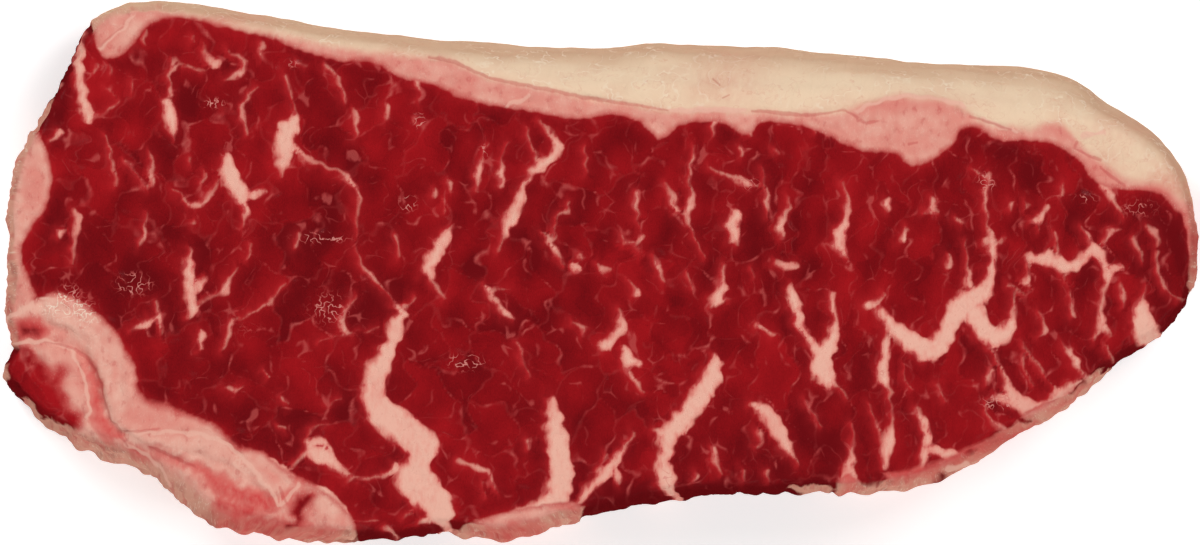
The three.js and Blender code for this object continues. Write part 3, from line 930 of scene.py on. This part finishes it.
    def drop_scraps(self) -> int:
        """Gives loose scraps to the layer beside them.

        Returns:
            How many faces they have.
        """
        a, b = self.edge_faces.T
        same = self.face_owner[a] == self.face_owner[b]
        label = patches(len(self.faces), a[same], b[same])
        sizes = np.bincount(label, minlength=len(self.faces))
        moved = 0
        for own in range(len(Layer)):
            mine = np.unique(label[self.face_owner == own])
            for scrap in mine[np.argsort(sizes[mine])][:-1]:
                inside = label == scrap
                rim = inside[a] != inside[b]
                beside = np.where(inside[a[rim]], self.face_owner[b[rim]], self.face_owner[a[rim]])
                self.face_owner[inside] = np.bincount(beside).argmax()
                moved += int(inside.sum())
        return moved

    def untie_rims(self) -> int:
        """Clears the points where a layer's rim touches itself.

        Returns:
            How many faces change their layer.
        """
        moved = 0
        for own in range(len(Layer)):
            inside = self.face_owner == own
            rim = inside[self.edge_faces[:, 0]] != inside[self.edge_faces[:, 1]]
            meetings = np.bincount(self.edge_ends[rim].reshape(-1), minlength=len(self.points))
            tied = (meetings > 2)[self.faces].any(axis=1) & ~inside
            self.face_owner[tied] = own
            moved += int(tied.sum())
        return moved

    def part(self, layer: Layer) -> bpy.types.Object:
        """Cuts the piece of one layer out of the skin and closes it.

        Args:
            layer: which layer.

        Returns:
            The piece.
        """
        faces = self.faces[self.face_owner == list(Layer).index(layer)]
        used = np.unique(faces)
        renumber = np.full(len(self.points), -1)
        renumber[used] = np.arange(len(used))
        mesh = bpy.data.meshes.new(layer.node + "_flesh")
        mesh.from_pydata((self.points[used] * MM).tolist(), [], renumber[faces].tolist())
        for name, field in self.fields.items():
            kind, key = ("FLOAT", "value") if field.ndim == 1 else ("FLOAT_VECTOR", "vector")
            values = mesh.attributes.new(name, kind, "POINT")
            values.data.foreach_set(key, field[used].astype(np.float32).reshape(-1))
        normals = self.normals[used]
        self.close(mesh, normals)
        loops = np.zeros((len(mesh.loops), 3))
        corners = np.empty(len(mesh.loops), dtype=np.int64)
        mesh.loops.foreach_get("vertex_index", corners)
        skin_loops = len(faces) * 4
        loops[:skin_loops] = normals[corners[:skin_loops]]
        mesh.normals_split_custom_set(loops.tolist())
        piece = bpy.data.objects.new(layer.node + "_flesh", mesh)
        bpy.context.scene.collection.objects.link(piece)
        return piece

    def close(self, mesh: bpy.types.Mesh, normals: Array) -> None:
        """Turns the rim of a layer's skin inwards, and closes it with a wall inside the flesh.

        Args:
            mesh: the layer's skin.
            normals: the outward direction at each of its points.
        """
        work = bmesh.new()
        work.from_mesh(mesh)
        for face in work.faces:
            face.smooth = True
        rim = [edge for edge in work.edges if edge.is_boundary]
        bmesh.ops.extrude_edge_only(work, edges=rim)
        work.verts.index_update()
        for vertex in work.verts:
            if vertex.index < len(normals):
                continue
            ring = [edge.other_vert(vertex).index for edge in vertex.link_edges]
            vertex.co -= Vector(normals[min(ring)]) * self.rim_depth * MM
        inner = [edge for edge in work.edges if edge.is_boundary]
        walls = bmesh.ops.holes_fill(work, edges=inner, sides=0)["faces"]
        bmesh.ops.triangulate(work, faces=walls, quad_method="BEAUTY", ngon_method="BEAUTY")
        bmesh.ops.recalc_face_normals(work, faces=work.faces)
        left = sum(edge.is_boundary for edge in work.edges)
        LOG.info("%s: rim of %d edges, %d left open", mesh.name, len(rim), left)
        work.to_mesh(mesh)
        work.free()


class Shade:
    """A shader value that takes part in ordinary arithmetic."""

    def __init__(self, bench: "ShaderBench", socket: bpy.types.NodeSocket) -> None:
        """Keeps the socket and the bench that it stands on."""
        self.bench = bench
        self.socket = socket

    def reckon(self, operation: str, *values: Value, clamp: bool = False) -> "Shade":
        """Adds a Math node over the given values, kept between 0 and 1 where clamp is set."""
        settings = {"operation": operation, "use_clamp": clamp}
        return self.bench.add("ShaderNodeMath", settings, dict(enumerate(values)))

    def __add__(self, other: Value) -> "Shade":
        """Adds."""
        return self.reckon("ADD", self, other)

    __radd__ = __add__

    def __sub__(self, other: Value) -> "Shade":
        """Takes away."""
        return self.reckon("SUBTRACT", self, other)

    def __rsub__(self, other: Value) -> "Shade":
        """Is taken away."""
        return self.reckon("SUBTRACT", other, self)

    def __mul__(self, other: Value) -> "Shade":
        """Multiplies."""
        return self.reckon("MULTIPLY", self, other)

    __rmul__ = __mul__

    def __truediv__(self, other: Value) -> "Shade":
        """Divides."""
        return self.reckon("DIVIDE", self, other)

    def twin(self, out: str) -> "Shade":
        """Another output of the same node."""
        return Shade(self.bench, self.socket.node.outputs[out])

    def lowest(self, other: Value) -> "Shade":
        """The lower of two values."""
        return self.reckon("MINIMUM", self, other)

    def highest(self, other: Value) -> "Shade":
        """The higher of two values."""
        return self.reckon("MAXIMUM", self, other)

    def size(self) -> "Shade":
        """The value without its sign."""
        return self.reckon("ABSOLUTE", self)

    def clamp(self) -> "Shade":
        """Keeps the value between 0 and 1."""
        return self.reckon("ADD", self, 0.0, clamp=True)

    def ease(self, low: Value, high: Value) -> "Shade":
        """Makes a smooth step.

        Args:
            low: where it is 0.
            high: where it is 1.

        Returns:
            The step.
        """
        ends = {"From Min": low, "From Max": high, "To Min": 0.0, "To Max": 1.0}
        settings = {"interpolation_type": "SMOOTHSTEP"}
        return self.bench.add("ShaderNodeMapRange", settings, {"Value": self, **ends})

    def ebb(self, low: Value, high: Value) -> "Shade":
        """A smooth step from 1 at low to 0 at high."""
        return 1 - self.ease(low, high)

    def fade(self, length: float) -> "Shade":
        """Falls from 1 at 0 towards 0 over a length."""
        return self.reckon("EXPONENT", self.highest(0.0) * (-1.0 / length))


class ShaderBench:
    """Builds the nodes of one material."""

    def __init__(self, material: bpy.types.Material) -> None:
        """Empties the node tree.

        Args:
            material: the material that is built.
        """
        material.use_nodes = True
        self.tree = material.node_tree
        self.tree.nodes.clear()

    def add(self, kind: str, settings: dict, sockets: dict, out: Union[int, str] = 0) -> Shade:
        """Adds a node.

        Args:
            kind: the node's type.
            settings: its own settings, set first; "stops" fills a ramp.
            sockets: what each input holds or is linked to, by name or number.
            out: which output is wanted.

        Returns:
            The output.
        """
        node = self.tree.nodes.new(kind)
        for name, value in settings.items():
            if name == "stops":
                for k, (place, colour) in enumerate(value):
                    stops = node.color_ramp.elements
                    stop = stops[k] if k < len(stops) else stops.new(place)
                    stop.position = place
                    stop.color = (*colour, 1.0)
            else:
                setattr(node, name, value)
        for name, value in sockets.items():
            source = value.socket if isinstance(value, Shade) else value
            if isinstance(source, bpy.types.NodeSocket):
                self.tree.links.new(source, node.inputs[name])
            elif isinstance(source, tuple) and node.inputs[name].type == "RGBA":
                node.inputs[name].default_value = (*source, 1.0)
            else:
                node.inputs[name].default_value = source
        return Shade(self, node.outputs[out] if node.outputs else None)

    def field(self, name: str) -> Shade:
        """Reads a number kept on the skin."""
        return self.add("ShaderNodeAttribute", {"attribute_name": name}, {}, "Fac")

    def vector(self, name: str) -> Shade:
        """Reads a vector kept on the skin."""
        return self.add("ShaderNodeAttribute", {"attribute_name": name}, {}, "Vector")

    def stretched(self, held: Shade, by: Stretch) -> Shade:
        """Multiplies a vector axis by axis."""
        return self.add("ShaderNodeVectorMath", {"operation": "MULTIPLY"}, {0: held, 1: by})

    def axis(self, held: Shade, name: str) -> Shade:
        """One axis of a vector."""
        return self.add("ShaderNodeSeparateXYZ", {}, {0: held}, name)

    def reach(self, held: Shade) -> Shade:
        """The length of a vector's X and Y together."""
        flat = self.stretched(held, (1.0, 1.0, 0.0))
        return self.add("ShaderNodeVectorMath", {"operation": "LENGTH"}, {0: flat}, "Value")

    def line(self, kind: LineSet) -> Shade:
        """Reads how far the edge of the nearest line of a set lies.

        Args:
            kind: which set.

        Returns:
            The distance in millimetres, below 0 inside a line.
        """
        held = self.vector(kind.value + "_line")
        return (self.reach(held) - self.axis(held, "Z")).highest(self.field(kind.value + "_gap") - 0.5)

    def blend(self, ground: Value, *washes: tuple[Value, Value]) -> Shade:
        """Lays colours over a ground, one after the other.

        Args:
            ground: the colour underneath.
            washes: the share and the colour of each wash.

        Returns:
            The colour that they make.
        """
        for share, colour in washes:
            settings = {"data_type": "RGBA", "clamp_factor": True}
            ground = self.add("ShaderNodeMix", settings, {0: share, 6: ground, 7: colour}, 2)
        return ground

    def ramp(self, where: Value, stops: Sequence[tuple[float, Colour]]) -> Shade:
        """Runs through colours."""
        return self.add("ShaderNodeValToRGB", {"stops": stops}, {"Fac": where}, "Color")

    def cells(self, place: Shade, size: float, feature: str) -> Shade:
        """Cells round scattered centres.

        Args:
            place: where they are read, in millimetres.
            size: their usual width in millimetres.
            feature: which distance is wanted.

        Returns:
            The distance, as a share of the width.
        """
        settings = {"voronoi_dimensions": "2D", "feature": feature}
        sockets = {"Vector": place, "Scale": 1.0 / size, "Randomness": 0.95}
        return self.add("ShaderNodeTexVoronoi", settings, sockets, "Distance")

    def noise(self, place: Shade, grain: float, detail: float, flat: bool = True) -> Shade:
        """Cloudy noise.

        Args:
            place: where it is read, in millimetres.
            grain: the size of its blots in millimetres.
            detail: how many finer layers it has.
            flat: whether it runs unchanged through the thickness.

        Returns:
            Its value, from about -0.5 to 0.5.
        """
        settings = {"noise_dimensions": "2D" if flat else "3D"}
        sockets = {"Vector": place, "Scale": 1.0 / grain, "Detail": detail}
        return self.add("ShaderNodeTexNoise", settings, sockets, "Fac") - 0.5


@dataclass
class Fabric:
    """What the finish reads of the skin at each place: the fields and the shared noises."""

    bench: ShaderBench
    stretch: Stretch = (1.3, 0.8, 1.0)
    fibre_stretch: Stretch = (1.5, 0.6, 1.0)
    lump_size: float = 1.5
    swell_size: float = 2.0
    grain_size: float = 0.36

    def __post_init__(self) -> None:
        """Reads the fields and makes the noises."""
        bench = self.bench
        metres = bench.add("ShaderNodeTexCoord", {}, {}, "Object")
        self.place = bench.stretched(metres, (1 / MM, 1 / MM, 1 / MM))
        plan = bench.vector("plan")
        self.long = bench.stretched(plan, self.stretch)
        self.fibres = bench.stretched(plan, self.fibre_stretch)
        self.lump = bench.noise(self.long, self.lump_size, 3)
        self.swell = bench.noise(plan, self.swell_size, 0)
        self.grain = bench.noise(self.long, self.grain_size, 2)
        self.side = bench.field("side")
        self.slow = bench.field("slow")
        self.mottle = bench.field("mottle")
        self.melt = bench.field("melt").clamp()
        self.read_bundles()
        self.read_marbling()
        into = bench.field("fat").lowest(bench.field("islands_gap") + self.lump * 0.5)
        self.into_fat = into - self.scallop * 0.26 + self.swell * 0.36 + self.lump * 0.20

    def read_bundles(self) -> None:
        """Reads the bundles of muscle and the strands in them, whose edges also scallop the fat."""
        bench = self.bench
        held = bench.vector("bundle_line")
        self.bundle = bench.reach(held).highest(bench.field("bundle_gap") - 0.15)
        self.bundle_tone = bench.axis(held, "Z")
        weave = bench.vector("weave")
        middle = bench.cells(weave, STRAND, "F1")
        self.middle = middle * STRAND
        self.strand_tone = middle.twin("Color")
        self.strand = bench.cells(weave, STRAND, "DISTANCE_TO_EDGE") * STRAND
        rounded = self.strand * self.strand / (self.strand + 0.35)
        self.scallop = rounded.lowest(1.1) * 0.80 - 0.38

    def read_marbling(self) -> None:
        """Reads the marbling: its width, its lee side on the left, and the distance from its ragged edge."""
        bench = self.bench
        held = bench.vector("marbling_line")
        reach = bench.reach(held)
        self.width = bench.axis(held, "Z")
        self.lee = (bench.axis(held, "X") / (reach + 0.15)).ease(0.35, -0.75)
        gap = bench.field("marbling_gap")
        thin = (reach - self.width).highest(gap - 0.25)
        give = (self.width * 0.28 + 0.07).lowest(0.42)
        rough = self.scallop * give + self.swell * (give * 1.5) + self.grain * 0.03
        plain = self.width.ease(0.45, 0.80).highest(1 - bench.field("alone"))
        spread = (self.lee - 0.5) * (self.width * 0.35).lowest(0.35)
        self.streak = thin + (gap - thin) * plain + rough + spread


@dataclass(frozen=True)
class FleshFinish:
    """The finish of every layer, worked out of the skin's fields so that it runs on from piece to piece."""

    lean: LeanFinish = LeanFinish()
    marbling: MarblingFinish = MarblingFinish()
    cut: CutFatFinish = CutFatFinish()
    skin: SkinFinish = SkinFinish()
    wet: WetFinish = WetFinish()

    def material(self, name: str) -> bpy.types.Material:
        """Builds the material.

        Args:
            name: what it is called.

        Returns:
            The material.
        """
        material = bpy.data.materials.new(name)
        bench = ShaderBench(material)
        fabric, wet = Fabric(bench), self.wet
        fat = fabric.into_fat.ease(fabric.melt * -1.0 - 0.50, fabric.melt * 0.8 + 0.26)
        # pale curls laid into the colour where it is wet: partly tissue, partly painted highlight, paler on
        # the fat
        threads = self.tissue_and_painted_glint_share(fabric)
        bright = (threads.ease(0.25, 0.9), wet.threads)
        tissue_and_painted_glint_colour = bench.blend(self.marbling.edge, bright, (fat, self.skin.wrinkle_and_painted_glint))
        tissue_and_painted_glint_wash = (threads.ease(0.0, 0.7) * 0.75, tissue_and_painted_glint_colour)
        colour = bench.blend(self.flesh_colour(fabric), (fat, self.fat_colour(fabric)), tissue_and_painted_glint_wash)
        smooth = wet.lean_roughness + (wet.fat_roughness - wet.lean_roughness) * fat
        relief = fabric.lump * 0.9 + fabric.grain * 0.35 - fabric.strand.fade(0.35) * 0.5
        bump = bench.add("ShaderNodeBump", {}, {"Strength": 1.0, "Distance": wet.bump * MM, "Height": relief})
        coat = wet.dry_coat + (wet.coat - wet.dry_coat) * bench.field("wet")
        sockets = {
            "Base Color": colour,
            "Roughness": smooth + fabric.side * (wet.side_roughness - smooth),
            "Specular IOR Level": wet.specular,
            "Coat Weight": (coat * (1 - fabric.side * 2.5).clamp()).clamp(),
            "Coat Roughness": wet.coat_roughness,
            "Normal": bump,
        }
        shader = bench.add("ShaderNodeBsdfPrincipled", {}, sockets)
        bench.add("ShaderNodeOutputMaterial", {}, {"Surface": shader})
        return material

    def flesh_colour(self, fabric: Fabric) -> Shade:
        """The muscle with the marbling in it, dried at the outer edge.

        Args:
            fabric: the fields and noises.

        Returns:
            The colour.
        """
        bench, lump, width, fat = fabric.bench, fabric.lump, fabric.width, self.marbling
        soft = 0.17 + fabric.lee * (0.12 + 0.50 * width.lowest(1.3)) * (0.6 + fabric.slow * 0.5).clamp()
        streaks = fabric.streak.ebb(-0.40, soft) * (0.36 + 0.64 * width.ease(0.12, 0.85))
        depth = (fabric.streak * -1.0).ease(-0.10, 1.35) * 0.76 + width.ease(0.4, 1.8) * 0.10
        depth = depth + bench.noise(fabric.fibres, fat.fibre_size, 2) * 0.50
        depth = depth + lump * 0.65 + fabric.slow * 0.08 + fabric.mottle * 0.05
        flush = bench.field("blush").highest(bench.field("rosy_gap").ebb(-0.8, 1.2)) * 0.7
        inside = bench.blend(
            bench.ramp(depth, [(0.0, fat.edge), (0.14, fat.pink), (0.48, fat.core), (0.88, fat.pale)]),
            ((fabric.grain + lump * 0.4).ease(0.20, 0.36) * 0.35, fat.edge),
            (flush.clamp(), fat.pink),
        )
        crust = bench.field("crust") * fabric.side.ease(0.05, 0.6) + lump * 0.5 + fabric.mottle * 0.06
        crust = crust.ease(0.36, 0.60) * 0.9
        dried = bench.blend(self.cut.rind, (lump.ease(-0.1, 0.3) * 0.5, self.cut.seam))
        return bench.blend(self.lean_colour(fabric), (streaks, inside), (crust, dried))

    def lean_colour(self, fabric: Fabric) -> Shade:
        """The red of the muscle with its fine films of fat, painted brightening near the fat, and painted
        shade on its walls.

        Args:
            fabric: the fields and noises.

        Returns:
            The colour.
        """
        bench, lean, lump, strand = fabric.bench, self.lean, fabric.lump, fabric.strand
        tone = fabric.bundle_tone * 0.42 + fabric.strand_tone * 0.18 + fabric.slow * 0.16 + 0.13
        # the tone patches also hold painted shade along the lower and right edges
        tone = tone + bench.field("red_depth") * 0.40 + lump * 0.20 + fabric.grain * 0.38
        red = bench.ramp(tone, [(0.05, lean.dark), (0.45, lean.middle), (0.95, lean.bright)])
        # painted light: the lean brightens near the fat, more on the left of a streak, as if light came
        # through the fat
        painted_glow_share = fabric.streak.fade(0.9) * (0.25 + 0.75 * fabric.lee)
        painted_glow_share = painted_glow_share.highest((0 - fabric.into_fat).fade(0.7) * 0.7) * (0.8 + lump)
        broad = bench.noise(fabric.long, lean.film_size, 2)
        # films along the bundles' borders, a veil between the strands, and stars where strands meet
        wide = broad.ease(0.02, 0.22) * 0.26
        film = (fabric.bundle + lump * 0.35).ebb(wide * 0.2 - 0.06, wide + 0.40) * (0.12 + 1.55 * wide)
        rich = (broad * -4.0 + lump * 0.8 - 0.20).clamp()
        veil = (strand + lump * 0.22).ebb(0.0, 0.26) * rich.ease(0.0, 0.6) * 0.20
        reach = (fabric.middle - 1.5).highest(0.0) * (rich * 0.7 + 0.10)
        star = (strand * 0.5 + lump * 0.25 - reach).ebb(-0.50, 0.12) * rich.ease(0.0, 0.45) * 0.45
        pale = film.highest(veil).highest(star).clamp()
        filmed = bench.blend(lean.film, (pale.ease(0.30, 0.85), self.marbling.pink))
        # painted shade: the last wash darkens the walls as they turn away from the light
        return bench.blend(red, (painted_glow_share, lean.painted_glow), (pale, filmed), (fabric.side * 0.80, lean.side))

    def fat_colour(self, fabric: Fabric) -> Shade:
        """The outer fat, cut or in its skin, with its rosy places, gristle and creases, whose dark line is
        partly painted shade.

        Args:
            fabric: the fields and noises.

        Returns:
            The colour.
        """
        bench, lump, swell, side = fabric.bench, fabric.lump, fabric.swell, fabric.side
        ragged = bench.field("rosy_gap") + lump * 2.6 + swell * 1.2 + fabric.scallop * 0.6
        rosy = ragged.ebb(-1.3, 1.5) * (0.80 + lump * 0.9 + swell * 0.4)
        rosy = rosy.highest(bench.field("blush") * (0.75 + lump * 1.3) * 0.8).clamp()
        outside = (bench.field("skin") + lump * 0.9 + fabric.slow * 0.25).ease(-1.2, 1.2)
        return bench.blend(
            self.cut_face(fabric),
            (side.ease(0.05, 0.8), self.rind(fabric)),
            (outside, self.outer_skin(fabric)),
            (rosy * (1 - side * 0.3), self.cut.rosy),
            ((bench.line(LineSet.FASCIA) + lump * 0.3).ebb(-0.05, 0.35) * 0.7, self.cut.gristle),
            # a reddish line along each crease: partly the fat's own seam colour, partly painted shade of the
            # groove
            ((bench.line(LineSet.CREASE) + lump * 0.3).ebb(-0.10, 0.24) * 0.45, self.cut.seam),
        )

    def cut_face(self, fabric: Fabric) -> Shade:
        """The cut face of the outer fat, with small painted highlight specks where it is wet.

        Args:
            fabric: the fields and noises.

        Returns:
            The colour.
        """
        bench, cut, lump, swell, grain = fabric.bench, self.cut, fabric.lump, fabric.swell, fabric.grain
        lobes = swell * 0.8 + lump * 0.8 + fabric.slow * 0.30
        cushion = (bench.field("pale_gap") + lump * 0.9 + fabric.scallop * 0.3).ebb(-0.9, 0.9)
        near = fabric.into_fat.ebb(-0.1, fabric.melt * 1.2 + 1.2) * (0.72 + fabric.melt * 0.25)
        # painted highlight: small pale specks, more where the fat is wet
        painted_glint_specks = (grain + lump * 0.4).ease(0.10, 0.24) * (0.12 + bench.field("wet") * 0.5)
        return bench.blend(
            cut.pink,
            (lobes.ease(-0.45, 0.75) * 0.8, cut.pale),
            (cushion * (0.62 + lump * 0.8), cut.gristle),
            ((lump - swell * 0.6).ease(0.08, 0.38) * 0.42, cut.seam),
            (near, cut.seam),
            ((grain - lump).ease(0.28, 0.45) * 0.12, cut.seam),
            (painted_glint_specks.clamp(), self.skin.wrinkle_and_painted_glint),
        )

    def rind(self, fabric: Fabric) -> Shade:
        """The darker outer wall of the fat, with small painted highlight specks.

        Args:
            fabric: the fields and noises.

        Returns:
            The colour.
        """
        lump = fabric.lump
        weathered = (fabric.mottle * 0.3 + lump * 1.5).ease(-0.1, 0.8) * 0.6
        weathered = weathered.highest(fabric.bench.field("crust") * (lump - 0.9))
        return fabric.bench.blend(
            self.cut.rind,
            (weathered.clamp(), self.cut.maroon),
            ((fabric.swell - lump * 0.8).ease(0.02, 0.34) * 0.45, self.cut.seam),
            # painted highlight: small pale specks on the wall
            ((fabric.grain + lump * 0.5).ease(0.10, 0.26) * 0.30, self.skin.wrinkle_and_painted_glint),
        )

    def outer_skin(self, fabric: Fabric) -> Shade:
        """The cream skin of the fat cap, with its pores, folds and cracks, and painted shade towards its
        sloping edge.

        Args:
            fabric: the fields and noises.

        Returns:
            The colour.
        """
        bench, skin, mottle = fabric.bench, self.skin, fabric.mottle
        warmth = mottle.ease(-0.2, 1.6) * 0.4 + bench.field("skin").ebb(0.0, 4.5) * 0.35
        # painted shade: the skin darkens and browns towards its sloping outer edge
        shaded = bench.field("rim").ease(0.0, 0.75) * 0.62 + fabric.side.ease(0.3, 1.0) * 0.30
        pores = bench.noise(fabric.place, skin.pore_size, 3, False)
        waves = bench.noise(fabric.place, skin.fold_size, 2, False)
        folds = waves.size().ebb(0.004, 0.030) * mottle.ease(-0.8, 1.0) * (0.34 + pores * 1.5)
        cracks = (waves + pores * 0.4 - 0.09).size().ebb(0.002, 0.026) * (0.16 + pores * 0.8)
        return bench.blend(
            skin.cream,
            (warmth, skin.warm),
            (shaded + mottle * 0.05, skin.tan),
            (pores.ease(0.14, 0.26) * (0.12 + mottle.ease(0.2, 1.4) * 0.35), skin.vein),
            (folds.clamp(), skin.wrinkle_and_painted_glint),
            (cracks.clamp(), skin.vein),
        )

    def tissue_and_painted_glint_share(self, fabric: Fabric) -> Shade:
        """Pale curls where the cut face is ragged and wet: partly pale tissue, partly painted highlight.

        Args:
            fabric: the fields and noises.

        Returns:
            How strongly they show.
        """
        curl = fabric.bench.noise(fabric.place, self.wet.tissue_and_painted_glint_size, 1.5)
        sparse = (fabric.lump + fabric.swell * 0.5).ease(-0.30, 0.02)
        return curl.size().ebb(0.004, 0.055) * sparse * fabric.bench.field("wet").ease(0.15, 0.9) * 0.85


@dataclass
class Steak:
    """The whole slice."""

    skin: SteakSkin
    finish: FleshFinish

    def build(self) -> None:
        """Builds and dresses every layer."""
        self.skin.draw()
        self.skin.share_out()
        for layer in Layer:
            piece = self.skin.part(layer)
            piece.data.materials.append(self.finish.material(layer.node + "_finish"))
            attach(piece, "root")
            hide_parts(layer.node)
            LOG.info("%s: %d faces", piece.name, len(piece.data.polygons))


@dataclass(frozen=True)
class Lamp:
    """A soft round lamp: its name, its turn round the slice in degrees, and its share of the strength."""

    name: str
    turn: float
    share: float


@dataclass
class Studio:
    """The floor, the lights and the camera, in metres."""

    lamps: tuple[Lamp, ...] = (
        Lamp("lamp_key", 130, 1.5),
        Lamp("lamp_fill", 40, 1.0),
        Lamp("lamp_front", 250, 1.0),
        Lamp("lamp_side", 320, 0.8),
    )
    lamp_watts: float = 5.4
    lamp_size: float = 0.55
    lamp_reach: float = 1.3
    lamp_height: float = 47.0  # degrees above the floor
    world_light: float = 0.03
    floor_half: float = 3.0
    floor_gap: float = 0.0002
    paper: Colour = (0.9, 0.9, 0.9)
    paper_glow: float = 0.40
    sensor_mm: float = 36.0
    camera_height: float = 4.0
    camera_sight: float = 50.0
    sharp_level: float = 18.0  # millimetres above the floor

    def build(self) -> None:
        """Sets up the studio."""
        self.lay_floor()
        self.hang_lamps()
        self.light_world()
        self.set_camera()
        bpy.context.scene.view_settings.view_transform = "Standard"

    def lay_floor(self) -> None:
        """Lays the pale floor."""
        mesh = bpy.data.meshes.new("floor")
        half = self.floor_half
        corners = [(-half, -half, 0), (half, -half, 0), (half, half, 0), (-half, half, 0)]
        mesh.from_pydata(corners, [], [(0, 1, 2, 3)])
        floor = bpy.data.objects.new("floor", mesh)
        floor.location.z = -self.floor_gap
        bpy.context.scene.collection.objects.link(floor)
        material = bpy.data.materials.new("floor_paper")
        bench = ShaderBench(material)
        sockets = {
            "Base Color": self.paper,
            "Roughness": 0.9,
            "Specular IOR Level": 0.0,
            "Emission Color": (1.0, 1.0, 1.0),
            "Emission Strength": self.paper_glow,
        }
        shader = bench.add("ShaderNodeBsdfPrincipled", {}, sockets)
        bench.add("ShaderNodeOutputMaterial", {}, {"Surface": shader})
        mesh.materials.append(material)

    def hang_lamps(self) -> None:
        """Hangs soft lamps round the slice, the strongest at the upper left."""
        for lamp in self.lamps:
            light = bpy.data.lights.new(lamp.name, "AREA")
            light.shape = "DISK"
            light.size = self.lamp_size
            light.energy = self.lamp_watts * lamp.share
            stand = bpy.data.objects.new(lamp.name, light)
            a, b = np.radians(lamp.turn), np.radians(self.lamp_height)
            way = Vector((np.cos(b) * np.cos(a), np.cos(b) * np.sin(a), np.sin(b)))
            stand.location = way * self.lamp_reach
            stand.rotation_euler = way.to_track_quat("Z", "Y").to_euler()
            bpy.context.scene.collection.objects.link(stand)

    def light_world(self) -> None:
        """Gives the room a dim even light."""
        world = bpy.data.worlds.new("room")
        world.use_nodes = True
        background = world.node_tree.nodes["Background"]
        background.inputs["Color"].default_value = (1.0, 1.0, 1.0, 1.0)
        background.inputs["Strength"].default_value = self.world_light
        bpy.context.scene.world = world

    def set_camera(self) -> None:
        """Looks straight down, framed as the photo is."""
        width = PHOTO_SIZE[0] * PHOTO_MM * MM
        middle = photo_to_mm(np.array(PHOTO_SIZE[0] / 2), np.array(PHOTO_SIZE[1] / 2)) * MM
        lens = bpy.data.cameras.new("camera")
        lens.sensor_width = self.sensor_mm
        lens.lens = lens.sensor_width * self.camera_height / width
        lens.clip_end = self.camera_sight
        camera = bpy.data.objects.new("camera", lens)
        camera.location = (middle[0], middle[1], self.sharp_level * MM + self.camera_height)
        bpy.context.scene.collection.objects.link(camera)
        bpy.context.scene.camera = camera


def main() -> None:
    """Builds the steak, then the studio round it."""
    logging.basicConfig(level=logging.INFO, format="%(message)s")
    Steak(SteakSkin(), FleshFinish()).build()
    Studio().build()


if __name__ == "__main__":
    main()
